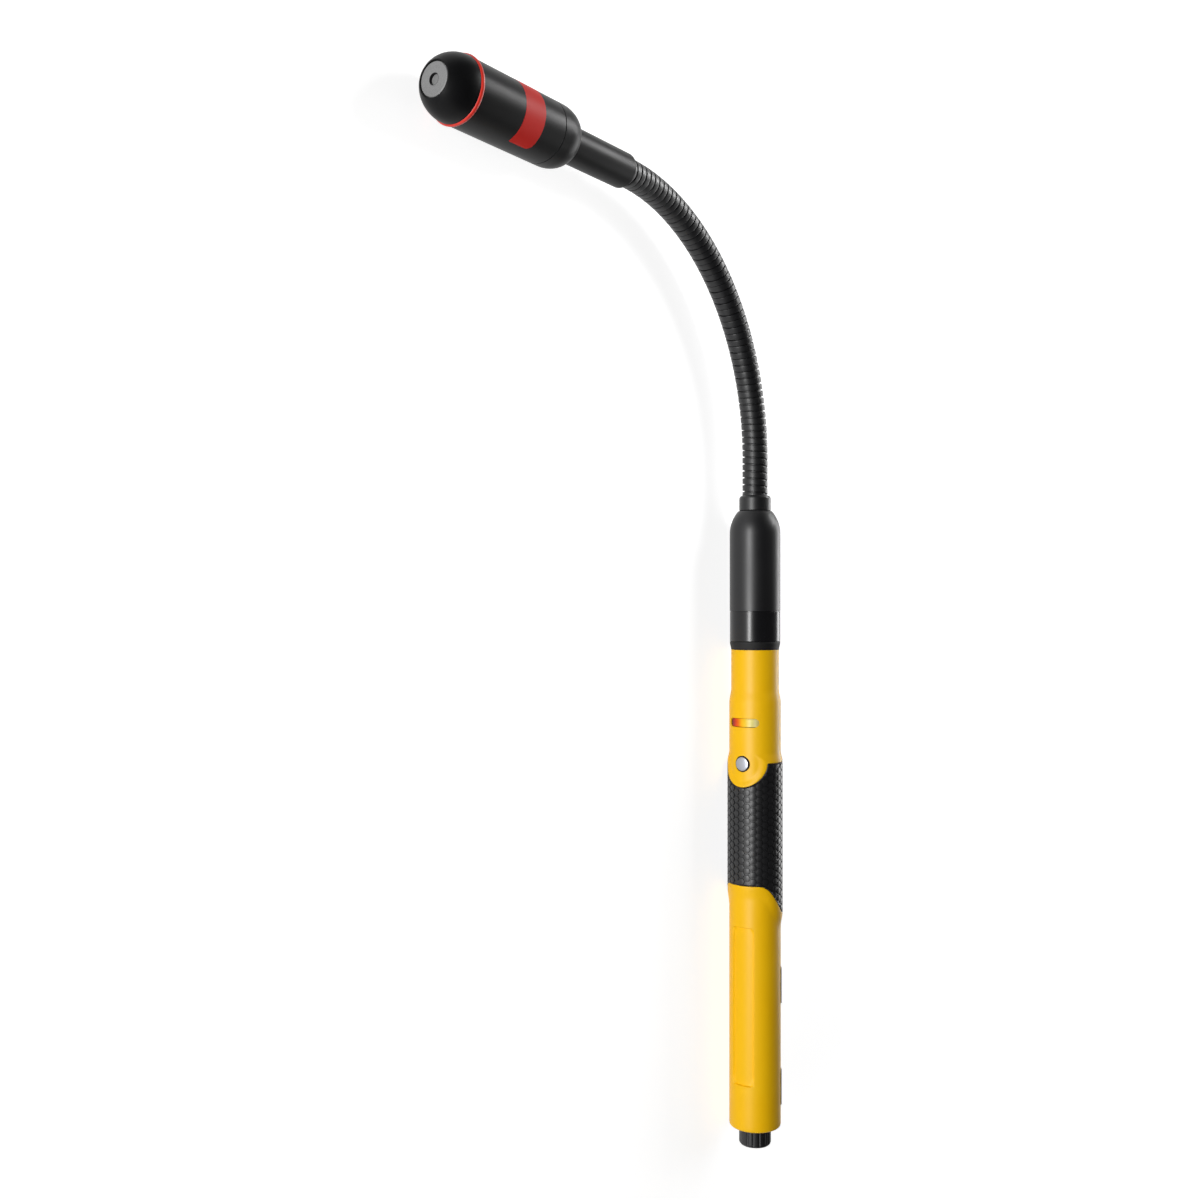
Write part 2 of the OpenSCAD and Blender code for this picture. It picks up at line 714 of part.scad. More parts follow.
// Domed nose with a neck for the seal ring and a spigot inside the barrel
module nose_cap() {
    spigot = head_bore_r - seam;
    neck = ring_mid_r - seal_ring_w / 2;
    dome_r = arc_radius(nose_len, head_r - tip_r);
    color("#141414") in_head() rotate_extrude() polygon(concat(
        [[sensor_r + play, h_ring - spigot_in], [spigot, h_ring - spigot_in], [spigot, h_ring + seam]],
        [[neck, h_ring + seam], [neck, h_nose]],
        arc(head_r - dome_r, h_nose, dome_r, dome_r, 0, asin(nose_len / dome_r), 12),
        [[disc_r + seam, h_tip], [disc_r + seam, h_tip - disc_t - seam]],
        [[sensor_r + play, h_tip - disc_t - seam]]
    ));
}
module filter_disc() {
    dimple = 0.5;
    color("#7d7d7d") in_head(h_tip - disc_t) difference() {
        cylinder(r = disc_r, h = disc_t);
        translate([0, 0, disc_t - dimple]) cylinder(r = dimple_r, h = dimple + past);
    }
}
h_board = h_ring - spigot_in - play - board_t;
module sensor_element() {
    base = h_board + board_t;
    color("#c0c0c0") in_head(base) cylinder(r = sensor_r, h = h_tip - disc_t - play - base);
}
module sensor_board() {
    color("#1e5c38") in_head(h_board) cylinder(r = head_bore_r - play, h = board_t);
}

handle_housing();
grip_sleeve();
rear_pad_lower();
rear_pad_upper();
power_button();
switch_plunger();
power_switch();
main_board();
sounder();
indicator_diodes();
indicator_window();
battery_tube();
battery_lower();
battery_upper();
battery_contact();
battery_spring();
battery_cap();
cap_seal();
coupling_seal();
coupling_ring();
handle_socket();
neck_plug();
neck_sleeve();
neck_collar();
neck_root();
for (i = [1:joint_count]) neck_link(i);
neck_ferrule();
head_rear_shell();
head_barrel();
head_label();
head_seal_ring();
nose_cap();
filter_disc();
sensor_element();
sensor_board();
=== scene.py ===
# %% [markdown]
# # A refrigerant leak detector
# The tool is a slim yellow handle with a rubber grip, a black spiral neck that stays where it is bent, and a black
# sensor head. It cannot stand, so it lies on a pale floor and the camera looks down on it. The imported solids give
# every place and size. The pieces made here dress them with finer forms and with procedural finishes.

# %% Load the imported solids
import json
import math

import bmesh
import bpy
from mathutils import Matrix, Vector


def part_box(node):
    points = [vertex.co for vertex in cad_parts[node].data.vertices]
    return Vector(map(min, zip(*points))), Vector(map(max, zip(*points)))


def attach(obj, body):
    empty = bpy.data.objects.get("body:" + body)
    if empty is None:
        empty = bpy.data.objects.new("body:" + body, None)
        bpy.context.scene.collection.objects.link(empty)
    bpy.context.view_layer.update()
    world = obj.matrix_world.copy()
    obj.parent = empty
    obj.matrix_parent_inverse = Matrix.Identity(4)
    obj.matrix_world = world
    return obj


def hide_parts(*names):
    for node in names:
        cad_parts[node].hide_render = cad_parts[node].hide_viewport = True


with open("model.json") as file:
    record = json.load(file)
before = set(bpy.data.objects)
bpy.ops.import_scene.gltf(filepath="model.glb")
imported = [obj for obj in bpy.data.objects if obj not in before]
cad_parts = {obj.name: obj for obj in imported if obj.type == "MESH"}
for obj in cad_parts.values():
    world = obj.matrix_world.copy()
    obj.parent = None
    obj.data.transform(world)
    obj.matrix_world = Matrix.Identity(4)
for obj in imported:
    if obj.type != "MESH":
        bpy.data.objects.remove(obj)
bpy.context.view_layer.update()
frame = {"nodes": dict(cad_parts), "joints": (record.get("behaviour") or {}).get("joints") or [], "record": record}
scene = bpy.context.scene

# %% [markdown]
# ## Three places to build in
# Handle, neck links and head are all round, so each piece is easiest to model upright around the Z axis, in
# millimetres. One matrix then lays it where its solid lies. The handle's axis comes from the grip's box, the links'
# from the joints, and the direction of the head from the mount on its barrel. In these upright places the front of
# the handle, with its button, faces -X.

# %% Places of the handle, the neck links and the head
MM = 0.001
LYING = Matrix.Rotation(math.radians(-90), 4, "X")
grip_low, grip_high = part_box("grip_sleeve")
foot_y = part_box("battery_cap")[0].y
HANDLE = Matrix.Translation(((grip_low.x + grip_high.x) / 2, foot_y, (grip_low.z + grip_high.z) / 2)) @ LYING

hinges = {joint["child"]: Vector(joint["pos_m"]) for joint in frame["joints"] if "bend" in joint["name"]}
link_bodies = sorted(body for body in hinges if body != "head") + ["head"]
barrel_axis = next(mount["axis"] for mount in frame["record"]["mounts"] if mount["name"] == "sensor_barrel")
whole_bend = math.atan2(-barrel_axis[0], barrel_axis[1])
LINKS = [
    Matrix.Translation(hinges[body]) @ Matrix.Rotation(whole_bend * (k + 1) / len(link_bodies), 4, "Z") @ LYING
    for k, body in enumerate(link_bodies)
]
HEAD = LINKS[-1]
print("neck links:", len(LINKS), "whole bend:", round(math.degrees(whole_bend), 1), "degrees")


def along(node, place):
    """Gives the lowest and highest station of a node along a place's axis, in millimetres."""
    inverse = place.inverted()
    heights = [(inverse @ vert.co).z / MM for vert in frame["nodes"][node].data.vertices]
    return min(heights), max(heights)


# %% [markdown]
# ## Camera
# The photograph was taken from close by: the head, which bends towards the lens, looks much larger than the handle.
# So the lens and the distance matter as much as the direction. The camera stands in front of the handle, 36 degrees
# above the floor, with the handle upright in the picture.

# %% Camera at the photograph's place
# The point aimed at, along the handle and to its left, and the distance to the lens, in millimetres.
AIM_UP, AIM_LEFT, DISTANCE = 271.5, 77.5, 677.5
SENSOR, FOCAL_PIXELS, PICTURE_PIXELS = 36, 1355, 1200
view_tilt = math.radians(36.1)
to_camera = Vector((-math.cos(view_tilt), 0, math.sin(view_tilt)))
picture_right = Vector((math.sin(view_tilt), 0, math.cos(view_tilt)))
picture_up = Vector((0, 1, 0))
aim = HANDLE @ Vector((0, 0, AIM_UP * MM)) - AIM_LEFT * MM * picture_right
eye = aim + DISTANCE * MM * to_camera

camera = bpy.data.objects.new("camera", bpy.data.cameras.new("camera"))
camera.data.sensor_width = SENSOR
camera.data.lens = SENSOR * FOCAL_PIXELS / PICTURE_PIXELS
camera.data.clip_start = 0.01
turn = Matrix((picture_right, picture_up, to_camera)).transposed().to_4x4()
camera.matrix_world = Matrix.Translation(eye) @ turn
scene.collection.objects.link(camera)
scene.camera = camera
print("camera at", [round(value, 3) for value in eye], "lens", round(camera.data.lens, 2), "mm")

# %% [markdown]
# ## How finishes are made
# Colours are written as they are picked from a picture, in sRGB, and turned to the linear values that the renderer
# needs. A single function adds a node, sets it and links it. Every pattern reads Object coordinates, which are in
# metres, so a pattern's scale is one divided by its real size.

# %% Colour and node helpers
def colour(code):
    """Turns a hex colour as seen on a screen into linear light."""
    values = [int(code[k:k + 2], 16) / 255 for k in (1, 3, 5)]
    return [v / 12.92 if v <= 0.04045 else ((v + 0.055) / 1.055) ** 2.4 for v in values] + [1]


def node(tree, kind, inputs=None, **settings):
    """Adds a shader node, sets it, and sets or links its inputs."""
    made = tree.nodes.new("ShaderNode" + kind)
    for name, value in settings.items():
        setattr(made, name, value)
    for name, value in (inputs or {}).items():
        if isinstance(value, bpy.types.NodeSocket):
            tree.links.new(value, made.inputs[name])
        else:
            made.inputs[name].default_value = value
    return made


def blank(name, **sockets):
    """Starts a finish: a new material with its shader's plain sockets set."""
    material = bpy.data.materials.new(name)
    material.use_nodes = True
    shader = material.node_tree.nodes["Principled BSDF"]
    for socket, value in sockets.items():
        shader.inputs[socket.replace("_", " ")].default_value = value
    return material, material.node_tree, shader


def per(size):
    """Scale of a pattern whose features are this many millimetres apart."""
    return 1 / (size * MM)


def wave_per(size):
    """Scale of a wave pattern, which repeats every pi / 10 units, for waves this many millimetres apart."""
    return math.pi / 10 * per(size)


# %% [markdown]
# ## Moulded and coated finishes
# Most of the tool is injection moulded: yellow ABS, black nylon, black rubber. A moulded surface is never quite
# even. It has slow changes of tone and gloss from the way the melt flowed, and a fine spark-eroded grain from the
# mould. The grain of the real mould is too fine for the picture, so it is drawn about twice as coarse. One function
# gives all of these, with the colours, gloss and grain of each.

# %% Finishes of moulded, rubber and coated pieces
FLOW = 22  # millimetres between the slow changes of tone


def moulded(name, light, dark, rough, grain, height, **sockets):
    """A finish with slow changes of tone and gloss, and a fine grain of the given size and height."""
    material, tree, shader = blank(name, **sockets)
    at = node(tree, "TexCoord").outputs["Object"]
    flow = node(tree, "TexNoise", {"Vector": at, "Scale": per(FLOW), "Detail": 3, "Roughness": 0.5})
    tone = node(tree, "Mix", {0: flow.outputs["Fac"], 6: colour(dark), 7: colour(light)}, data_type="RGBA")
    gloss = node(tree, "MapRange", {"Value": flow.outputs["Fac"], "To Min": rough * 0.85, "To Max": rough * 1.15})
    pits = node(tree, "TexNoise", {"Vector": at, "Scale": per(grain), "Detail": 2, "Roughness": 0.6})
    bump = node(tree, "Bump", {"Height": pits.outputs["Fac"], "Distance": height * MM, "Strength": 0.5})
    tree.links.new(tone.outputs[2], shader.inputs["Base Color"])
    tree.links.new(gloss.outputs["Result"], shader.inputs["Roughness"])
    tree.links.new(bump.outputs["Normal"], shader.inputs["Normal"])
    return material


# Moulded ABS: bright, slightly waxy, with a broad soft shine.
yellow_abs = moulded("moulded_yellow_abs", "#FFC808", "#FCC004", 0.44, 0.7, 0.008, IOR=1.53,
                     Specular_IOR_Level=0.32)
# Thermoplastic rubber: dark, with a dull sheen that only brightens towards the light.
grip_rubber = moulded("grip_rubber", "#141416", "#0E0E10", 0.4, 0.45, 0.03, IOR=1.5,
                      Specular_IOR_Level=0.55)
# Glass-filled nylon with a satin mould: black, with soft highlights.
satin_nylon = moulded("satin_black_nylon", "#141416", "#0E0E10", 0.42, 0.6, 0.012, IOR=1.53,
                      Specular_IOR_Level=0.45)
# The same black nylon on the sensor head, with a slightly darker tone as painted shade and much less shine, so that
# it stays blacker than the sleeve, with one broad gentle highlight.
head_nylon_shaded = moulded("black_nylon_head_shaded", "#111112", "#0C0C0D", 0.4, 0.6, 0.012, IOR=1.5,
                       Specular_IOR_Level=0.11)
# The same nylon, polished, for the coupling ring: hard-edged highlights.
polished_nylon = moulded("polished_black_nylon", "#101012", "#0B0B0D", 0.27, 2.5, 0.006, IOR=1.53,
                         Specular_IOR_Level=0.4)
# Matt seal of moulded rubber. It also colours the dark ring that is painted as shade in the filter's hole.
seal_rubber = moulded("matt_seal_rubber", "#161617", "#101011", 0.62, 0.5, 0.02, IOR=1.5,
                      Specular_IOR_Level=0.3)
# Steel spiral with a baked black coat: semi-gloss, slightly uneven where the coat flowed.
coated_steel = moulded("black_coated_steel", "#151517", "#0F0F11", 0.43, 0.9, 0.012, IOR=1.55,
                       Specular_IOR_Level=0.4)
# Silicone rubber of the head's seal ring: strong red, soft shine.
red_silicone = moulded("red_silicone", "#E4382A", "#D82E22", 0.38, 0.5, 0.006, IOR=1.45)
# Printed polyester film of the head's label field: flat red, evenly glossy.
red_film = moulded("red_polyester_film", "#E4281E", "#DA2218", 0.52, 1.5, 0.003, IOR=1.57,
                   Specular_IOR_Level=0.12)
print("materials so far:", len(bpy.data.materials))

# %% [markdown]
# ## Metal, filter and window
# The button is a satin metal cap, turned on a lathe, so its fine marks run in circles. The filter disc at the tip
# is sintered from small grains pressed together, and a cell pattern shows them. The window is a ribbed clear piece
# over a row of diodes, lit from red on one side to pale yellow on the other, so its colour follows its width. Its red
# end fades to near black, which is painted shade of the opening's edge.

# %% Finishes of the button, the filter and the window
BUTTON = 190.75  # height of the button on the handle
BUTTON_PLACE = HANDLE @ Matrix.Translation((0, 0, BUTTON * MM))
LATHE_MARK, GRAIN, RIB = 0.9865, 0.4, 2.762
# Satin stainless steel: bright and colourless, with rings left by the lathe, drawn coarser than real ones to show.
satin_steel, tree, shader = blank("satin_turned_steel", Metallic=1.0)
at = node(tree, "TexCoord").outputs["Object"]
centre = node(tree, "Mapping", {"Vector": at, "Location": -BUTTON_PLACE.translation}, vector_type="POINT")
flat = node(tree, "VectorMath", {0: centre.outputs["Vector"], 1: (0, 1, 1)}, operation="MULTIPLY")
rings = node(tree, "TexWave", {"Vector": flat.outputs["Vector"], "Scale": wave_per(LATHE_MARK), "Distortion": 0.6},
             wave_type="RINGS", rings_direction="SPHERICAL")
shine = node(tree, "MapRange", {"Value": rings.outputs["Fac"], "To Min": 0.3, "To Max": 0.4})
bump = node(tree, "Bump", {"Height": rings.outputs["Fac"], "Distance": 0.004 * MM, "Strength": 0.4})
shader.inputs["Base Color"].default_value = colour("#A4A7AE")
tree.links.new(shine.outputs["Result"], shader.inputs["Roughness"])
tree.links.new(bump.outputs["Normal"], shader.inputs["Normal"])

# Sintered bronze with a nickel coat: grey, dull, made of grains that catch the light one by one.
sintered, tree, shader = blank("sintered_filter_metal", Metallic=0.35)
at = node(tree, "TexCoord").outputs["Object"]
grains = node(tree, "TexVoronoi", {"Vector": at, "Scale": per(GRAIN), "Randomness": 1.0})
tone = node(tree, "ValToRGB", {"Fac": grains.outputs["Distance"]})
tone.color_ramp.elements[0].color = colour("#838383")
tone.color_ramp.elements[1].color = colour("#717171")
bump = node(tree, "Bump", {"Height": grains.outputs["Distance"], "Distance": 0.05 * MM, "Strength": 0.3},
            invert=True)
shader.inputs["Roughness"].default_value = 0.55
tree.links.new(tone.outputs["Color"], shader.inputs["Base Color"])
tree.links.new(bump.outputs["Normal"], shader.inputs["Normal"])

# Clear acrylic over lit diodes: glossy, glowing from red to pale yellow across the front of the handle. Its colour
# ramp starts near black at the red end, as painted shade of the opening's edge, and darkens a little at the pale end.
lit_acrylic, tree, shader = blank("lit_acrylic_window", Roughness=0.3, IOR=1.49, Specular_IOR_Level=0.3,
                                   Emission_Strength=0.03)
at = node(tree, "TexCoord").outputs["Object"]
height = node(tree, "SeparateXYZ", {"Vector": at}).outputs["Z"]
window_low, window_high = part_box("indicator_window")
across = node(tree, "MapRange", {"Value": height, "From Min": window_low.z, "From Max": window_high.z})
glow_and_edge_shade = node(tree, "ValToRGB", {"Fac": across.outputs["Result"]})
for position, code in ((0.1, "#8A1006"), (0.2, "#CF3312"), (0.33, "#EE6A0E"), (0.46, "#FBB80C"), (0.6, "#F4CC30"),
                       (0.78, "#E4D670"), (0.9, "#DAD092")):
    glow_and_edge_shade.color_ramp.elements.new(position).color = colour(code)
# The near-black low end of the ramp is painted shade of the opening's edge, in the base colour and in the glow.
glow_and_edge_shade.color_ramp.elements[0].color = colour("#1E0302")
glow_and_edge_shade.color_ramp.elements[-1].color = colour("#B4A455")
ribs = node(tree, "TexWave", {"Vector": at, "Scale": wave_per(RIB)}, wave_type="BANDS", bands_direction="Z")
bump = node(tree, "Bump", {"Height": ribs.outputs["Fac"], "Distance": 0.05 * MM, "Strength": 0.4})
tree.links.new(glow_and_edge_shade.outputs["Color"], shader.inputs["Base Color"])
tree.links.new(glow_and_edge_shade.outputs["Color"], shader.inputs["Emission Color"])
tree.links.new(bump.outputs["Normal"], shader.inputs["Normal"])
print("window from", round(window_low.z / MM, 2), "to", round(window_high.z / MM, 2), "mm above the floor")

# %% [markdown]
# ## Turned outlines
# A cap, a ring or a dome is the same all round, as if turned on a lathe. It could start from a cylinder with many
# loop cuts, but an outline is shorter: a few corners, each with a radius and a height, and a rounding where the
# real edge is soft. The spin operator sweeps the outline once around the axis and joins the ends.

# %% Outlines, spinning and finished pieces
LONG_SPAN, HOLD, MERGE = 2, 0.15, 0.002


def softened(corners, closed, segments=6):
    """Rounds each corner (radius, height, rounding), and adds points beside long stretches to shade them evenly."""
    points = []
    for k, (r, z, rounding) in enumerate(corners):
        here = Vector((r, z))
        if rounding == 0 or (not closed and k in (0, len(corners) - 1)):
            points.append(here)
            continue
        back = (Vector(corners[k - 1][:2]) - here).normalized()
        ahead = (Vector(corners[(k + 1) % len(corners)][:2]) - here).normalized()
        half = back.angle(ahead) / 2
        centre = here + (back + ahead).normalized() * rounding / math.sin(half)
        first, last = (here + way * rounding / math.tan(half) - centre for way in (back, ahead))
        sweep = first.angle(last)
        for step in range(segments + 1):
            t = step / segments * sweep
            points.append(centre + (first * math.sin(sweep - t) + last * math.sin(t)) / math.sin(sweep))
    held = []
    for point, following in zip(points, points[1:] + points[:1]):
        held.append(point)
        span = following - point
        if span.length > LONG_SPAN and (closed or point != points[-1]):
            held += [point + span.normalized() * HOLD, following - span.normalized() * HOLD]
    return held


def turned(corners, closed=True, steps=128):
    """Spins an outline around the Z axis."""
    bm = bmesh.new()
    verts = [bm.verts.new((point.x, 0, point.y)) for point in softened(corners, closed)]
    ends = verts[1:] + verts[:1] if closed else verts[1:]
    edges = [bm.edges.new(pair) for pair in zip(verts, ends)]
    bmesh.ops.spin(bm, geom=verts + edges, cent=(0, 0, 0), axis=(0, 0, 1), angle=2 * math.pi, steps=steps,
                   use_merge=True)
    return bm


def finished(name, bm, place, body, finish, stands_for=(), wall=0, crease=32):
    """Closes a shape, lays it in its place, gives it a finish and lets it ride on its body."""
    bmesh.ops.remove_doubles(bm, verts=bm.verts, dist=MERGE)
    bmesh.ops.recalc_face_normals(bm, faces=bm.faces)
    if wall:
        bmesh.ops.solidify(bm, geom=bm.faces[:], thickness=wall)
    bmesh.ops.transform(bm, matrix=place @ Matrix.Scale(MM, 4), verts=bm.verts)
    mesh = bpy.data.meshes.new(name)
    bm.to_mesh(mesh)
    bm.free()
    mesh.shade_smooth()
    mesh.set_sharp_from_angle(angle=math.radians(crease))
    mesh.materials.append(finish)
    piece = bpy.data.objects.new(name, mesh)
    scene.collection.objects.link(piece)
    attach(piece, body)
    if stands_for:
        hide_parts(*stands_for)
    print(name, "faces:", len(mesh.polygons))
    return piece


# %% [markdown]
# ## The grip's edges
# Two edges shape the middle of the handle. Below, the rubber ends in a line that is level at the front and sweeps
# down towards the back. Above, it ends level, with a round dip under the button. The yellow housing rises to meet
# the rubber along both edges, so both pieces use the same two functions. An angle of zero is the front.

# %% Edges shared by the housing and the grip
# Radii of the body, the rubber, the collars that meet it, and the top.
BODY_R, GRIP_R, LIP_R, TOP_R = 12.8, 13.75, 13.67, 11.85
# Heights of the foot, the rubber's front edge, its upper edge, and the two ends of the taper.
BASE, WAVE, GRIP_TOP, TAPER, TOP = 9.5, 130.8, 191.2, 220.45, 227.45
# Radius of the tongue around the button, and the reach of the collars above and below the rubber.
TONGUE_R, FLARE, LIP = 11.4, 5.25, 7.0
# Drop of the lower edge, and the stretch from front to back over which it drops.
DROP, DROP_FROM, DROP_OVER = 15, 11, 17
FAR = 99
SEAL = along("handle_housing", HANDLE)[1]


def eased(t):
    """Goes from 0 to 1 with soft ends."""
    t = min(max(t, 0), 1)
    return t * t * (3 - 2 * t)


def lower_edge(angle):
    """Height at which the rubber starts."""
    return WAVE - DROP * eased((DROP_FROM - LIP_R * math.cos(angle)) / DROP_OVER)


def slope(angle):
    """Stretch of the lower edge, which slants: its length over its level length."""
    step = 0.01
    return math.hypot(1, (lower_edge(angle + step) - lower_edge(angle - step)) / (2 * step * LIP_R))


def from_button(angle, z):
    """Distance from the button's centre, seen from the front."""
    return math.hypot(LIP_R * math.sin(angle), z - BUTTON) if math.cos(angle) > 0 else FAR


def upper_edge(angle):
    """Height at which the rubber ends."""
    side = abs(LIP_R * math.sin(angle))
    if side < TONGUE_R and math.cos(angle) > 0:
        return BUTTON - math.sqrt(TONGUE_R ** 2 - side ** 2)
    return GRIP_TOP


def marks(low, high, coarse, fine, edges):
    """Stations from low to high, with four fine steps on each side of the given edges."""
    count = math.ceil((high - low) / coarse)
    found = {low + (high - low) * k / count for k in range(count + 1)}
    found |= {edge + fine * k for edge in edges for k in range(-4, 5) if low < edge + fine * k < high}
    kept = [low]
    for mark in sorted(found):
        if mark - kept[-1] > fine * 0.6:
            kept.append(mark)
    kept[-1] = high
    return kept


def wrapped_grid(rows, angles, point):
    """Bends a flat grid into a tube: point gives the radius and height of a row at an angle."""
    bm = bmesh.new()
    across, up = len(angles) - 1, len(rows) - 1
    bmesh.ops.create_grid(bm, x_segments=across, y_segments=up, size=0.5)
    for vert in bm.verts:
        angle = angles[round((vert.co.x + 0.5) * across)]
        r, z = point(*rows[round((vert.co.y + 0.5) * up)], angle)
        vert.co = (-r * math.cos(angle), r * math.sin(angle), z)
    return bm


RECESS_SIDE, TONGUE_SIDE, COLUMN, FINE_COLUMN = (math.radians(degrees) for degrees in (27, 56.5, 2.4, 0.5))
side_angles = (RECESS_SIDE, -RECESS_SIDE, TONGUE_SIDE, -TONGUE_SIDE)
around = marks(-math.pi, math.pi, COLUMN, FINE_COLUMN, side_angles)
print("grip from", WAVE, "to", GRIP_TOP, "mm, columns around the handle:", len(around) - 1)

# %% [markdown]
# ## Yellow housing
# The housing is one moulded shell. Its reliefs, the label recess, the seats of the two rear pads, the lip below the
# grip and the flare above it, run smoothly into a round tube, which no chain of cuts gives cleanly. So a fine grid
# is bent into the tube, and each point is moved in or out by the reliefs. The grid's rows follow the two edges of
# the rubber and crowd towards them, which keeps the edges crisp and their crests round. The label recess is bare.

# %% Reliefs of the housing
# The label recess: its ends, half width, corners, depth, and the width of its sloped sides.
RECESS_LOW, RECESS_HIGH, RECESS_HALF, RECESS_CORNER, RECESS_DEPTH, RECESS_RAMP = 32.2, 110.0, 5.8, 2.0, 0.95, 0.5
# The two rear pads: their ends, how far round they reach, and the seats in which they lie.
PADS = ((19.5, 37.7), (70.1, 88.3))
PAD_REACH = math.radians(68)
SEAT_DEPTH, SEAT_CORNER, SEAT_RAMP = 0.5, 0.5, 0.4
# The crests of the collars, which are rounded, and the tongue's steeper slope.
CREST, CREST_ROUND, TONGUE_STEEP = 0.18, 0.4, 1.45
# Heights at which level rows give way to rows that follow the edges, and back.
SPLIT, LEVEL_AGAIN = 112.5, 198.5
TOLERANCE, UNDER_GRIP = 0.01, 0.4


def inside_slab(x, z, half_width, low, high, corner):
    """Distance to the outline of a slab with round corners, negative inside."""
    dx = abs(x) - half_width + corner
    dz = abs(z - (low + high) / 2) - (high - low) / 2 + corner
    return math.hypot(max(dx, 0), max(dz, 0)) + min(max(dx, dz), 0) - corner


def within(gap, ramp):
    """Goes from 0 outside an outline to 1 inside it, over a ramp that is centred on it."""
    return eased(0.5 - gap / ramp)


def collar(depth, reach):
    """Rise of a collar that meets the rubber, this far from its edge: a soft slope up to a rounded crest."""
    return (LIP_R - BODY_R) * (1 - eased(depth / reach)) - CREST * max(0, 1 - depth / CREST_ROUND) ** 2


def relief(angle, z):
    """How far the housing stands out of the plain tube."""
    rise = 0
    if z <= lower_edge(angle):
        rise = collar((lower_edge(angle) - z) / slope(angle), LIP)
    elif z >= upper_edge(angle) - TOLERANCE:
        rise = collar(max(z - GRIP_TOP, TONGUE_STEEP * (TONGUE_R - from_button(angle, z))), FLARE)
    if math.cos(angle) > 0:
        gap = inside_slab(BODY_R * math.sin(angle), z, RECESS_HALF, RECESS_LOW, RECESS_HIGH, RECESS_CORNER)
        rise -= RECESS_DEPTH * within(gap, RECESS_RAMP)
    else:
        away = BODY_R * (math.pi - abs(angle))
        for low, high in PADS:
            gap = inside_slab(away, z, BODY_R * PAD_REACH, low, high, SEAT_CORNER)
            rise -= SEAT_DEPTH * within(gap, SEAT_RAMP)
    return rise


def housing_point(stretch, value, angle):
    """Radius and height of the housing's surface on one row at one angle."""
    if stretch == "butt":
        return value
    if stretch == "under grip":
        return BODY_R - UNDER_GRIP, (lower_edge, upper_edge)[value](angle)
    z = value
    if stretch == "below":
        z = SPLIT + (lower_edge(angle) - SPLIT) * value
    elif stretch == "above":
        z = upper_edge(angle) + (LEVEL_AGAIN - upper_edge(angle)) * value
    return BODY_R + relief(angle, z) - (BODY_R - TOP_R) * eased((z - TAPER) / (TOP - TAPER)), z


# %% Shell of the housing with its two openings
BUTT_ROUND, MOUTH_R, HOUSING_WALL = 1.25, 10.4, 0.9
ROW, FINE_ROW, TOP_ROW, EDGE_ROWS, CROWD = 2.0, 0.12, 0.5, 48, 1.5
butt = [(7.2, BASE), (9.4, BASE), (11.3, BASE)]
butt += [(BODY_R - BUTT_ROUND + BUTT_ROUND * math.sin(a), BASE + BUTT_ROUND - BUTT_ROUND * math.cos(a))
         for a in (0, 0.3, 0.6, 0.9, 1.2)]
relief_ends = [RECESS_LOW, RECESS_HIGH] + [end for pad in PADS for end in pad]
window_and_taper = [208.7, 211, 213.2, 220.5, 223, 225, 227.4]
shares = [k / EDGE_ROWS for k in range(EDGE_ROWS + 1)]
rows = [("butt", pair) for pair in butt]
rows += [("plain", z) for z in marks(BASE + BUTT_ROUND, SPLIT - 0.5, ROW, FINE_ROW, relief_ends)]
rows += [("below", 1 - (1 - share) ** CROWD) for share in shares] + [("under grip", 0), ("under grip", 1)]
rows += [("above", share ** CROWD) for share in shares]
rows += [("plain", z) for z in marks(LEVEL_AGAIN + 0.5, SEAL, ROW, TOP_ROW, window_and_taper)]
rows += [("butt", (MOUTH_R, SEAL))]
bm = wrapped_grid(rows, around, housing_point)
bmesh.ops.remove_doubles(bm, verts=bm.verts, dist=MERGE)

WINDOW, WINDOW_HALF, WINDOW_R, BUTTON_HOLE_R = 210.95, 8.15, 2.2, 4.05
openings = (
    (BUTTON, 0, BUTTON_HOLE_R),
    (WINDOW, WINDOW_HALF - WINDOW_R, WINDOW_R),
)


def to_opening(co, centre, straight, radius):
    """Nearest point on an opening's outline, seen from the front, and the distance to it, negative inside."""
    middle = Vector((min(max(co.y, -straight), straight), centre))
    away = Vector((co.y, co.z)) - middle
    return middle + away.normalized() * radius, away.length - radius


for opening in openings:
    inner = [face for face in bm.faces
             if (mid := face.calc_center_median()).x < 0 and to_opening(mid, *opening)[1] < 0]
    bmesh.ops.delete(bm, geom=inner, context="FACES")
    for vert in bm.verts:
        if vert.is_boundary and vert.co.x < 0:
            spot, gap = to_opening(vert.co, *opening)
            if abs(gap) < 1:
                vert.co = (-math.sqrt(BODY_R ** 2 - spot.x ** 2), spot.x, spot.y)
finished("housing_shell", bm, HANDLE, "handle", yellow_abs, ["handle_housing"],
         wall=HOUSING_WALL, crease=40)

# %% [markdown]
# ## Honeycomb grip
# The rubber is covered with raised six-sided pads with thin grooves between them. A bump pattern would vanish along
# the outline of the handle, so the pads are real. One pad is a circle of six corners with a raised, smaller top. It
# is copied over a flat field, row by row, and the field is then wrapped around a smooth sleeve. Pads that reach
# over an edge are cut back to it.

# %% Sleeve under the honeycomb
# Gaps to the housing's edges and to its body, the smooth border with its rounding, and the bed for the pads.
EDGE_GAP, BODY_GAP, BORDER, BORDER_ROUND, BED, BED_RAMP = 0.08, 0.05, 0.35, 0.3, 0.5, 0.4


def to_edge(angle, z):
    """Distance of a place on the rubber from its nearest edge."""
    above = min(GRIP_TOP - z, from_button(angle, z) - TONGUE_R)
    return min((z - lower_edge(angle)) / slope(angle), above)


def grip_point(stretch, value, angle):
    """Radius and height of the sleeve under the honeycomb."""
    low, high = lower_edge(angle) + EDGE_GAP, upper_edge(angle) - EDGE_GAP
    z = low + (high - low) * value
    if stretch == "inner":
        return BODY_R + BODY_GAP, z
    near = to_edge(angle, z)
    return GRIP_R - BED * eased((near - BORDER) / BED_RAMP) - BORDER_ROUND * (1 - eased(near / BORDER)), z


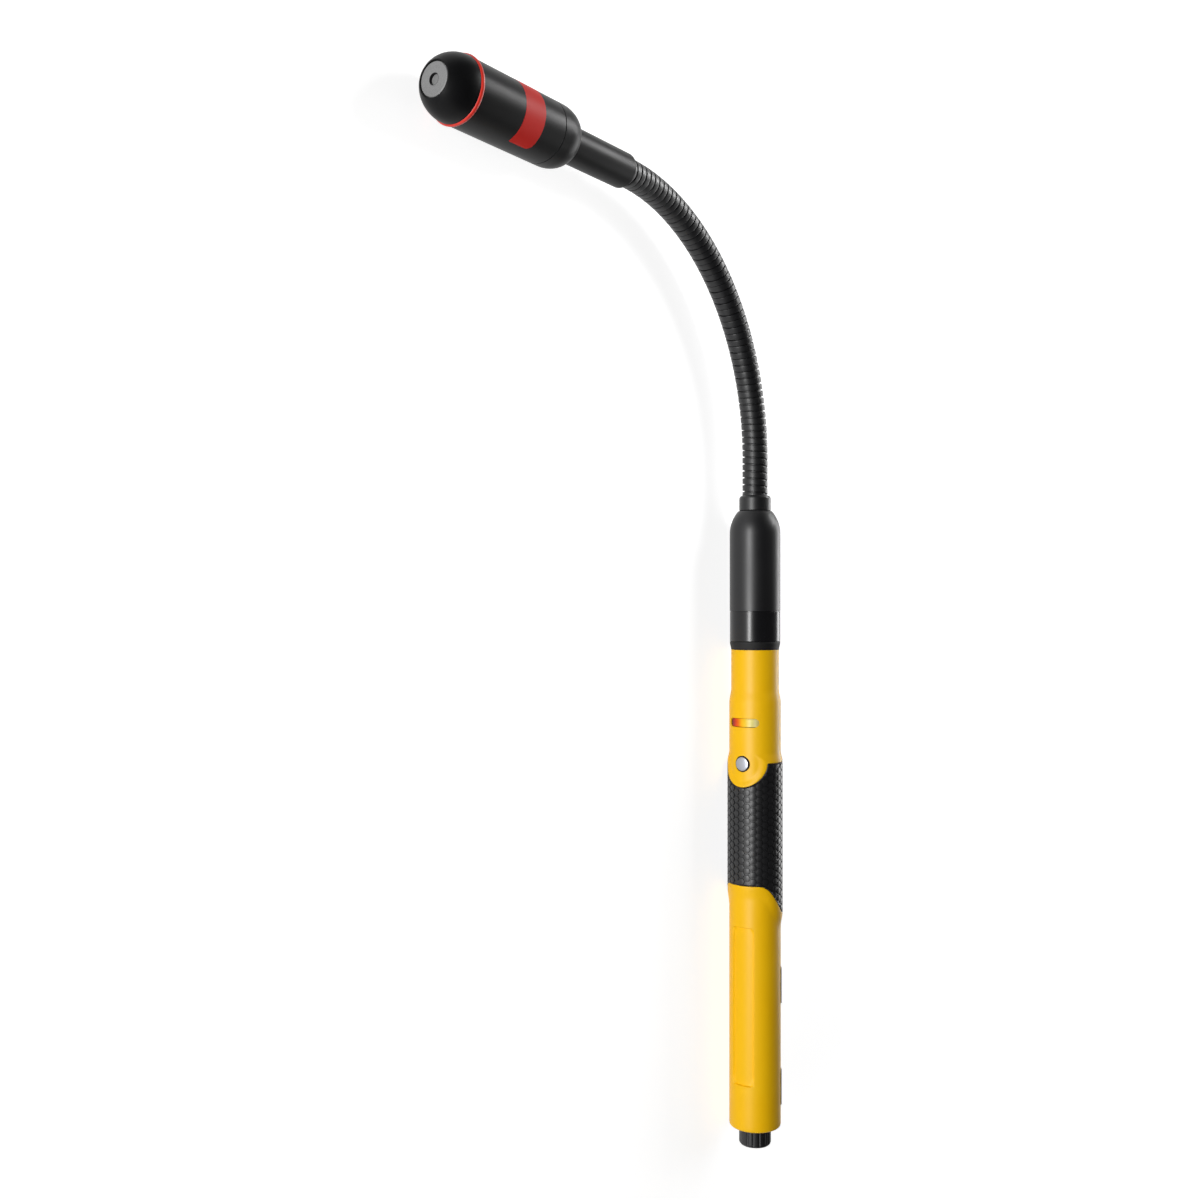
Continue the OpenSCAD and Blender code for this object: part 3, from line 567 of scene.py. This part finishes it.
edge_rows = [0, 0.003, 0.006, 0.01, 0.014, 0.02]
FIELD_STEPS, first = 70, edge_rows[-1]
field_rows = edge_rows + [first + (1 - 2 * first) * k / FIELD_STEPS for k in range(1, FIELD_STEPS)]
field_rows += [1 - row for row in edge_rows[::-1]]
rows = [("inner", 0)] + [("outer", value) for value in field_rows] + [("inner", 1), ("inner", 0)]
grip = wrapped_grid(rows, around, grip_point)

# %% Raised pads of the honeycomb
COLUMNS, PAD_ROWS, FIELD_FOOT, PITCH, GROOVE = 28, 24, 112, 3.5, 0.38
# Width and height of a pad's flanks, of the slope on its top, and the height of its middle.
FLANK, FLANK_RISE, SLOPE, SLOPE_RISE, PEAK = 0.18, 0.45, 0.4, 0.06, 0.02
# How far pads stay from the rubber's edges: their middles, their lower corners and the other corners.
KEEP_MIDDLE, KEEP_LOW, KEEP = 0.45, 0.55, 0.5
across = 2 * math.pi * GRIP_R / COLUMNS
pad_r = PITCH / math.sqrt(3) - GROOVE / math.sqrt(3)
bmesh.ops.remove_doubles(grip, verts=grip.verts, dist=MERGE)
tile = bmesh.new()
bmesh.ops.create_circle(tile, segments=6, radius=pad_r, cap_ends=True)
tile.normal_update()
bmesh.ops.reverse_faces(tile, faces=[face for face in tile.faces if face.normal.z < 0])
tile.normal_update()
bmesh.ops.inset_region(tile, faces=tile.faces[:], thickness=FLANK, depth=FLANK_RISE, use_boundary=True)
crown = [face for face in tile.faces if len(face.verts) == 6]
bmesh.ops.inset_region(tile, faces=crown, thickness=SLOPE, depth=SLOPE_RISE)
bmesh.ops.rotate(tile, matrix=Matrix.Rotation(math.radians(90), 3, "Z"), verts=tile.verts)
crown = [face for face in tile.faces if len(face.verts) == 6]
bmesh.ops.poke(tile, faces=crown, offset=PEAK)
tile_high = max(vert.co.z for vert in tile.verts)
tile_mesh = bpy.data.meshes.new("tile")
print("honeycomb pad:", len(tile.faces), "faces, height", round(tile_high, 2), "mm")

count = 0
for column in range(COLUMNS):
    for row in range(PAD_ROWS):
        middle = ((column - COLUMNS / 2) * across, FIELD_FOOT + (row + 0.5 * (column % 2)) * PITCH)
        if to_edge(middle[0] / GRIP_R, middle[1]) < KEEP_MIDDLE:
            continue
        placed = tile.copy()
        for vert in placed.verts:
            flat = Vector((vert.co.x + middle[0], vert.co.y + middle[1]))
            angle = flat.x / GRIP_R
            z = min(max(flat.y, lower_edge(angle) + KEEP_LOW), GRIP_TOP - KEEP)
            if from_button(angle, z) < TONGUE_R + KEEP:
                z = min(z, BUTTON - math.sqrt(max((TONGUE_R + KEEP) ** 2 - (LIP_R * math.sin(angle)) ** 2, 0)))
            r = GRIP_R - tile_high + vert.co.z
            vert.co = (-r * math.cos(angle), r * math.sin(angle), z)
        placed.to_mesh(tile_mesh)
        grip.from_mesh(tile_mesh)
        placed.free()
        count += 1
tile.free()
bpy.data.meshes.remove(tile_mesh)
finished("honeycomb_grip", grip, HANDLE, "handle", grip_rubber, ["grip_sleeve"], crease=50)
print("pads on the grip:", count)

# %% [markdown]
# ## Plates bent around a tube
# The rear pads, the window and the red label field are thin plates that follow a round surface. Each starts as one
# flat face. Its corners are rounded, it is extruded to its thickness, its upper edge is bevelled, and it is sliced
# across so that it can bend. Then it is wrapped around the axis, towards the side that it faces.

# %% Bent plates
SLICES, RIM = 40, 0.15


def bent_plate(width, height, corners, low, high, edge, middle, facing=0.0, straight_in=False):
    """A plate of the given size between two radii. straight_in keeps its outline true as seen from the front."""
    bm = bmesh.new()
    bmesh.ops.create_grid(bm, x_segments=1, y_segments=1, size=0.5)
    bmesh.ops.scale(bm, vec=(width, height, 1), verts=bm.verts)
    for vert in bm.verts[:]:
        bmesh.ops.bevel(bm, geom=[vert], offset=corners[(vert.co.x > 0, vert.co.y > 0)], offset_type="OFFSET",
                        affect="VERTICES", segments=8, profile=0.5, material=-1)
    bmesh.ops.recalc_face_normals(bm, faces=bm.faces)
    raised = bmesh.ops.extrude_face_region(bm, geom=bm.faces[:])["geom"]
    bmesh.ops.translate(bm, vec=(0, 0, high - low), verts=[v for v in raised if isinstance(v, bmesh.types.BMVert)])
    rim = [e for e in bm.edges if all(v.co.z > (high - low) / 2 for v in e.verts)]
    bmesh.ops.bevel(bm, geom=rim, offset=edge, offset_type="OFFSET", affect="EDGES", segments=3, profile=0.5,
                    material=-1)
    face = max(bm.faces, key=lambda f: f.calc_center_median().z)
    bmesh.ops.inset_region(bm, faces=[face], thickness=RIM)
    for k in range(1, SLICES):
        bmesh.ops.bisect_plane(bm, geom=bm.verts[:] + bm.edges[:] + bm.faces[:],
                               plane_co=(width * (k / SLICES - 0.5), 0, 0), plane_no=(1, 0, 0))
    for vert in bm.verts:
        r = low + vert.co.z
        angle = facing + (math.asin(vert.co.x / r) if straight_in else vert.co.x / high)
        vert.co = (-r * math.cos(angle), r * math.sin(angle), middle + vert.co.y)
    return bm


def same_corners(radius):
    """The same rounding at all four corners of a plate."""
    return {(right, top): radius for right in (False, True) for top in (False, True)}


PAD_IN_R, PAD_OUT_R, PAD_CORNER = 12.32, 13.2, 2.5
for name, (low, high) in zip(("rear_pad_lower", "rear_pad_upper"), PADS):
    bm = bent_plate(2 * PAD_REACH * PAD_OUT_R, high - low, same_corners(PAD_CORNER), PAD_IN_R, PAD_OUT_R, edge=0.3,
                    middle=(low + high) / 2, facing=math.pi)
    finished(name + "_skin", bm, HANDLE, "handle", grip_rubber, [name])
LENS_GAP, LENS_IN_R, LENS_SUNK = 0.4, 11.0, 0.45
bm = bent_plate(2 * WINDOW_HALF - LENS_GAP, 2 * WINDOW_R - LENS_GAP, same_corners(WINDOW_R - 0.23), LENS_IN_R,
                BODY_R - LENS_SUNK, edge=0.12, middle=WINDOW, straight_in=True)
finished("window_lens", bm, HANDLE, "handle", lit_acrylic, ["indicator_window"])

# %% [markdown]
# ## Button and battery cap
# The button is a small turned cap with a gently domed face, in a soft black gasket that fills the gap around it. The
# cap at the butt end is turned too, then sixteen narrow flutes are pressed into its side by moving points inwards,
# so that fingers can turn it.

# %% Button, gasket and battery cap
FRONT = Matrix.Rotation(math.radians(-90), 4, "Y")
dome = [(0, 13.4, 0), (1.5, 13.36, 0), (2.6, 13.24, 0), (3.4, 13.05, 0.25), (3.4, 9.62, 0), (4.7, 9.62, 0),
        (4.7, 9.05, 0), (0, 9.05, 0)]
finished("button_cap", turned(dome, closed=False, steps=64), BUTTON_PLACE @ FRONT, "button", satin_steel,
         ["power_button"])
gasket = [(3.46, 10.8, 0), (3.46, 12.2, 0.1), (4.0, 12.2, 0.1), (4.0, 10.8, 0)]
finished("button_gasket", turned(gasket, steps=64), BUTTON_PLACE @ FRONT, "handle", seal_rubber)

FLUTES, FLUTE_DEPTH, FLUTE_HALF = 16, 0.42, 0.7
CAP_R, CAP_RIM, STEM_R, STEM_END = 7.9, 9.2, 6.9, 17.8
cap = turned([(0, 0, 0), (CAP_R, 0, 1.5), (CAP_R, CAP_RIM, 0.35), (STEM_R, CAP_RIM, 0), (STEM_R, STEM_END, 0),
              (5.5, STEM_END, 0), (5.5, 3, 0), (0, 3, 0)], closed=False, steps=FLUTES * 14)
for vert in cap.verts:
    r, angle = math.hypot(vert.co.x, vert.co.y), math.atan2(vert.co.y, vert.co.x)
    off = abs((angle / (2 * math.pi) * FLUTES + 0.5) % 1 - 0.5) * 2 * math.pi * CAP_R / FLUTES
    if r > STEM_R + 0.3 and vert.co.z < CAP_RIM + 0.1:
        press = FLUTE_DEPTH * max(0, 1 - (off / FLUTE_HALF) ** 2) * eased((vert.co.z - 0.2) / 1.6)
        vert.co.xy *= (r - press) / r
finished("fluted_cap", cap, HANDLE, "cap", satin_nylon, ["battery_cap"])

# %% [markdown]
# ## Neck coupling
# Above the housing sit a matt chamfered seal, a polished ring that is screwed down by hand, a satin sleeve with a
# domed shoulder, and a small collar from which the neck starts. All are turned. The narrow gaps between them show
# as dark seams, so each keeps its own edges, with roundings of a few tenths.

# %% Seal, ring, sleeve and collar
BORE_R, SEAL_R, RING_R, STEP_R = 8.9, 12.5, 12.55, 12.35
low, high = along("coupling_seal", HANDLE)
seal = [(BORE_R, low, 0), (TOP_R, low, 0.2), (SEAL_R, low + 3.1, 0.5), (SEAL_R, high, 0.3), (BORE_R, high, 0)]
finished("seal_skin", turned(seal), HANDLE, "handle", seal_rubber, ["coupling_seal"])
low, high = along("coupling_ring", HANDLE)
seam = along("neck_sleeve", HANDLE)[0]
ring = [(BORE_R, low, 0), (RING_R, low, 0.3), (RING_R, high, 0.15), (STEP_R, high, 0), (STEP_R, seam, 0),
        (BORE_R, seam, 0)]
finished("ring_skin", turned(ring), HANDLE, "handle", polished_nylon, ["coupling_ring"])

low, high = along("neck_sleeve", HANDLE)
SLEEVE_R, DOME_END_R, DOME = 12.6, 8.5, 11.2
dome_r = (DOME ** 2 + (SLEEVE_R - DOME_END_R) ** 2) / (2 * (SLEEVE_R - DOME_END_R))
arc = [math.asin(DOME / dome_r) * k / 14 for k in range(15)]
shoulder = [(SLEEVE_R - dome_r + dome_r * math.cos(a), high - DOME + dome_r * math.sin(a), 0) for a in arc]
shoulder[-1] = shoulder[-1][:2] + (0.2,)
SOCKET_R, PASSAGE_R, ROOF = 10.3, 5.65, high - DOME - 2
sleeve = [(SOCKET_R, low, 0), (SLEEVE_R, low, 0.15)] + shoulder
sleeve += [(PASSAGE_R, high, 0), (PASSAGE_R, ROOF, 0), (SOCKET_R, ROOF, 0)]
finished("sleeve_skin", turned(sleeve), HANDLE, "handle", satin_nylon, ["neck_sleeve"])
low, high = along("neck_collar", HANDLE)
COLLAR_R, NECK_HOLE_R, WIRES_R, COLLAR_FLOOR = 7.85, 6.35, 3.3, low + 1.5
small_collar = [(WIRES_R, low, 0), (COLLAR_R, low, 0.25), (COLLAR_R, high, 1.5), (NECK_HOLE_R, high, 0.15),
                (NECK_HOLE_R, COLLAR_FLOOR, 0), (WIRES_R, COLLAR_FLOOR, 0)]
finished("collar_skin", turned(small_collar), HANDLE, "handle", satin_nylon, ["neck_collar"])

# %% [markdown]
# ## Spiral neck
# The neck is wound from a flat band with rounded shoulders, as a gooseneck is, so its grooves climb like a thread.
# The spin operator makes that too: with an offset along the axis at every step, it becomes a screw. The outline
# reaches from the middle of one groove to the middle of the next, so neighbouring turns join. Each link of the
# chain carries two turns and rides on its own body. The cuts between links lie on the underside.

# %% Turns of the neck
NECK_R, TURN, BAND, ROOT_TURNS, LINK_TURNS = 6.27, 3.425, 0.9, 8, 2
FLOOR_R = NECK_R - 0.95
rise = [(FLOOR_R, 0), (FLOOR_R, 0.29), (6.08, 0.31), (6.19, 0.37), (6.24, 0.48), (6.26, 0.8)]
band = rise + [(NECK_R, TURN / 2)] + [(r, TURN - z) for r, z in rise[::-1]]


def spiral(turns, steps=56):
    """Winds the band's outline, left-handed, and starts half a turn below the joint."""
    bm = bmesh.new()
    verts = [bm.verts.new((0, r, z - TURN / 2)) for r, z in band]
    edges = [bm.edges.new(pair) for pair in zip(verts, verts[1:])]
    bmesh.ops.spin(bm, geom=verts + edges, cent=(0, 0, 0), axis=(0, 0, 1), dvec=(0, 0, TURN / steps),
                   angle=-2 * math.pi * turns, steps=steps * turns)
    return bm


root = HANDLE @ Matrix.Translation((0, 0, (HANDLE.inverted() @ hinges["neck_01"]).z - ROOT_TURNS * TURN * MM))
finished("neck_turns_00", spiral(ROOT_TURNS), root, "handle", coated_steel, ["neck_root"], wall=BAND)
for k, (place, body) in enumerate(zip(LINKS, link_bodies), 1):
    finished(f"neck_turns_{k:02d}", spiral(LINK_TURNS), place, body, coated_steel,
             [f"neck_link_{k:02d}"], wall=BAND)

# %% [markdown]
# ## Sensor head
# A plain tube joins the neck to the head. The head is a rounded rear shell, a barrel with a bare red label field, a
# red seal ring and a domed nose that holds the grey filter disc. A dark ring on the wall of the disc's hole is
# painted shade. All are turned, and the shoulders follow the arcs of the solids. The label field is a bent plate that
# lies flush in the barrel, with one corner well rounded.

# %% Tube, rear shell and barrel
HEAD_R, TUBE_R = 12.9, 7.6
low, high = along("neck_ferrule", HEAD)
tube = [(NECK_HOLE_R, low, 0.15), (TUBE_R, low, 0.9), (TUBE_R, high, 0), (NECK_HOLE_R, high, 0)]
finished("head_tube", turned(tube), HEAD, "head", head_nylon_shaded, ["neck_ferrule"])
low, high = along("head_rear_shell", HEAD)
SEAM = along("head_barrel", HEAD)[0]
BACK_R, BACK, SEAM_GAP, SPIGOT_R, SHELL_BORE_R, TUBE_HOLE_R = 8.2, 9, 0.2, 11.25, 9.65, TUBE_R + 0.05
arc = [math.pi / 2 * k / 16 for k in range(17)]
back = [(BACK_R + (HEAD_R - BACK_R) * math.sin(a), low + BACK - BACK * math.cos(a), 0) for a in arc]
shell = [(TUBE_HOLE_R, low, 0)] + back
shell += [(HEAD_R, SEAM - SEAM_GAP, 0.2), (SPIGOT_R, SEAM - SEAM_GAP, 0), (SPIGOT_R, high, 0)]
shell += [(SHELL_BORE_R, high, 0), (SHELL_BORE_R, low + BACK, 0), (TUBE_HOLE_R, low + BACK, 0)]
finished("head_shell", turned(shell), HEAD, "head", head_nylon_shaded, ["head_rear_shell"])
RING = along("head_barrel", HEAD)[1]
BARREL_BORE_R = 11.3
barrel = [(BARREL_BORE_R, SEAM, 0), (HEAD_R, SEAM, 0.2), (HEAD_R, RING, 0.3), (BARREL_BORE_R, RING, 0)]
finished("head_tube_front", turned(barrel), HEAD, "head", head_nylon_shaded, ["head_barrel"])

# %% Label field, seal ring, nose and filter disc
low, high = along("head_label", HEAD)
corners = {(True, True): 0.6, (True, False): 2.6, (False, True): 0.6, (False, False): 0.6}
LABEL_REACH, LABEL_IN_R, LABEL_PROUD = math.radians(144), 12.55, 0.03
label = bent_plate(LABEL_REACH * HEAD_R, high - low, corners, LABEL_IN_R, HEAD_R + LABEL_PROUD, edge=0.05,
                   middle=(low + high) / 2, facing=-math.pi / 2)
finished("label_field", label, HEAD, "head", red_film, ["head_label"])
low, high = along("head_seal_ring", HEAD)
SEAL_OUT_R = 13.45
middle, wire = (low + high) / 2, (high - low) / 2 + 0.4
circle = [math.pi * k / 8 for k in range(16)]
seal = [(SEAL_OUT_R - wire + wire * math.cos(a), middle + wire * math.sin(a), 0) for a in circle]
finished("red_seal_ring", turned(seal), HEAD, "head", red_silicone, ["head_seal_ring"])
low, high = along("nose_cap", HEAD)
TIP_R, DISC_R, NOSE, NOSE_STEP_R, NOSE_BORE_R = 7.2, 6.55, 11.55, 11.6, 5.2
nose_r = (NOSE ** 2 + (HEAD_R - TIP_R) ** 2) / (2 * (HEAD_R - TIP_R))
arc = [math.asin(NOSE / nose_r) * k / 18 for k in range(19)]
dome = [(HEAD_R - nose_r + nose_r * math.cos(a), high - NOSE + nose_r * math.sin(a), 0) for a in arc]
dome[-1] = dome[-1][:2] + (0.2,)
nose_seat, disc_seat, seat_r = high - NOSE - 1.4, high - 1.85, DISC_R + 0.2
nose = [(NOSE_BORE_R, low, 0), (SPIGOT_R, low, 0), (SPIGOT_R, nose_seat, 0), (NOSE_STEP_R, nose_seat, 0),
        (NOSE_STEP_R, high - NOSE, 0)]
nose += dome + [(seat_r, high, 0.12), (seat_r, disc_seat, 0), (NOSE_BORE_R, disc_seat, 0)]
finished("nose_dome", turned(nose), HEAD, "head", head_nylon_shaded, ["nose_cap"])
low, high = along("filter_disc", HEAD)
face, hole_floor = high - 0.05, high - 1.4
disc = [(0, low, 0), (DISC_R, low, 0), (DISC_R, face, 0.5), (2.3, face, 0.1), (2.25, hole_floor, 0.3),
        (0, hole_floor, 0)]
finished("filter_face", turned(disc, closed=False), HEAD, "head", sintered, ["filter_disc"])
# A ring of dark rubber on the wall of the filter's hole: painted shade of the hole.
hole_shade_low, hole_shade_high = high - 1.35, high - 0.12
hole_shade = [(2.1, hole_shade_low, 0), (2.32, hole_shade_low, 0), (2.32, hole_shade_high, 0), (2.16, hole_shade_high, 0)]
finished("filter_hole_painted_shade", turned(hole_shade, steps=64), HEAD, "head", seal_rubber)

# %% [markdown]
# ## Pieces inside
# What sits inside the housing and the head keeps the solids' own shapes, which are right already. Each gets the
# finish of its real material, so that it also looks right when the housing is taken off: green circuit boards with
# copper tracks under the lacquer, plated contacts, a wire spring, and the printed sleeve of the cells left plain.

# %% Finishes of the inner pieces
inner_nylon = moulded("inner_black_nylon", "#38383A", "#2E2E30", 0.5, 0.8, 0.01, IOR=1.53)
cell_sleeve = moulded("shrunk_cell_sleeve", "#4F7196", "#456488", 0.28, 3.0, 0.004, IOR=1.54)
diode_resin = moulded("diode_resin", "#F6EED8", "#EFE4C6", 0.2, 1.5, 0.003, IOR=1.54)
plated_brass = moulded("nickel_plated_brass", "#D8CDB0", "#C9BC9A", 0.3, 1.0, 0.004, Metallic=1.0)
spring_wire = moulded("drawn_spring_wire", "#C4C6CA", "#B4B6BA", 0.25, 0.8, 0.003, Metallic=1.0)

# Glass-fibre board under green solder lacquer, with tracks that show as a lighter net.
TRACK = 4
board_lacquer, tree, shader = blank("green_board_lacquer", Roughness=0.3, IOR=1.55)
at = node(tree, "TexCoord").outputs["Object"]
tracks = node(tree, "TexBrick", {"Vector": at, "Scale": per(TRACK), "Mortar Size": 0.06, "Color1": colour("#1E5C38"),
                                 "Color2": colour("#1B5433"), "Mortar": colour("#2F7A4C")})
bump = node(tree, "Bump", {"Height": tracks.outputs["Fac"], "Distance": 0.03 * MM, "Strength": 0.4})
tree.links.new(tracks.outputs["Color"], shader.inputs["Base Color"])
tree.links.new(bump.outputs["Normal"], shader.inputs["Normal"])

inner_finishes = {
    inner_nylon: ["power_switch", "sounder", "battery_tube", "handle_socket", "neck_plug"],
    diode_resin: ["indicator_diodes", "switch_plunger"],
    board_lacquer: ["main_board", "sensor_board"],
    cell_sleeve: ["battery_lower", "battery_upper"],
    plated_brass: ["battery_contact", "sensor_element"],
    spring_wire: ["battery_spring"],
    seal_rubber: ["cap_seal"],
}
for finish, names in inner_finishes.items():
    for name in names:
        for slot in frame["nodes"][name].material_slots:
            slot.material = finish
print("inner pieces:", sum(len(names) for names in inner_finishes.values()))

# %% [markdown]
# ## Floor and light
# The floor is pale paper. A long soft panel stands low on the camera's side and lights the front of the handle. A
# strip behind the handle draws the bright line along its far edge, and a small narrow lamp is aimed at the head.
# Nothing hangs right above, so the middle of the black pieces stays black. The paper adds white of its own to what
# the camera and the reflections see, a little more with the distance, so that the lamps can stay at a plain level
# while the soft shadow remains. Around it the world is white walls under a dim ceiling. The camera sees it plain
# white, and matt surfaces get only a part of its light.

# %% Paper floor
FLOOR_HALF = 6
floor_mesh = bpy.data.meshes.new("floor")
bm = bmesh.new()
bmesh.ops.create_grid(bm, x_segments=1, y_segments=1, size=FLOOR_HALF)
bm.to_mesh(floor_mesh)
bm.free()
floor = bpy.data.objects.new("floor", floor_mesh)
scene.collection.objects.link(floor)
paper, tree, shader = blank("white_paper", Roughness=0.9)
shader.inputs["Base Color"].default_value = colour("#CACACA")
shader.inputs["Emission Color"].default_value = (1, 1, 1, 1)
rays = node(tree, "LightPath")
seen = node(tree, "Math", {0: rays.outputs["Is Camera Ray"], 1: rays.outputs["Is Glossy Ray"]}, operation="MAXIMUM")
seen = node(tree, "Math", {0: seen.outputs[0], 1: rays.outputs["Is Transmission Ray"]}, operation="MAXIMUM")
away = node(tree, "VectorMath", {0: node(tree, "TexCoord").outputs["Object"]}, operation="LENGTH")
white = node(tree, "MapRange", {"Value": away.outputs["Value"], "From Min": 0.55, "From Max": 1.1,
                                "To Min": 0.85, "To Max": 1.0})
lift = node(tree, "Math", {0: seen.outputs[0], 1: white.outputs["Result"]}, operation="MULTIPLY")
tree.links.new(lift.outputs[0], shader.inputs["Emission Strength"])
floor_mesh.materials.append(paper)
print("floor:", 2 * FLOOR_HALF, "m wide")


# %% Lamps
def panel(name, place, target, size, power, spread=180):
    """A soft rectangular lamp that faces a target."""
    lamp = bpy.data.lights.new(name, "AREA")
    lamp.shape = "RECTANGLE"
    lamp.size, lamp.size_y = size
    lamp.energy = power
    lamp.spread = math.radians(spread)
    obj = bpy.data.objects.new(name, lamp)
    facing = (Vector(target) - Vector(place)).to_track_quat("-Z", "Y")
    obj.matrix_world = Matrix.Translation(place) @ facing.to_matrix().to_4x4()
    scene.collection.objects.link(obj)
    return obj


middle = HANDLE @ Vector((0, 0, 0.25))
panel("front_panel", middle + Vector((-1.5, 0.0, 0.11)), middle, size=(1.0, 0.23), power=19.5)
panel("back_strip", middle + Vector((1.3, 0.0, 0.44)), middle, size=(0.95, 0.4), power=9)
aim = HEAD @ Vector((0, 0, 0.02))
panel("head_panel", aim + Vector((0.75, 0.38, 0.52)), aim, size=(0.4, 0.25), power=0.5, spread=44)
print("lamps:", len(bpy.data.lights))

# %% World and view
world = bpy.data.worlds.new("studio")
world.use_nodes = True
tree = world.node_tree
way = node(tree, "TexCoord").outputs["Generated"]
height = node(tree, "SeparateXYZ", {"Vector": way}).outputs["Z"]
wall = node(tree, "MapRange", {"Value": height, "From Min": 0.1, "From Max": 0.3, "To Min": 1.0, "To Max": 0.08})
tree.nodes["Background"].inputs["Color"].default_value = (1, 1, 1, 1)
rays = node(tree, "LightPath")
seen = node(tree, "Math", {0: rays.outputs["Is Glossy Ray"], 1: rays.outputs["Is Transmission Ray"]},
            operation="MAXIMUM")
share = node(tree, "MapRange", {"Value": seen.outputs[0], "To Min": 0.3, "To Max": 1.0})
lit = node(tree, "Math", {0: wall.outputs["Result"], 1: share.outputs["Result"]}, operation="MULTIPLY")
strength = node(tree, "Math", {0: lit.outputs[0], 1: rays.outputs["Is Camera Ray"]}, operation="MAXIMUM")
tree.links.new(strength.outputs[0], tree.nodes["Background"].inputs["Strength"])
scene.world = world
scene.view_settings.view_transform = "Standard"
print("world:", world.name, "view:", scene.view_settings.view_transform)
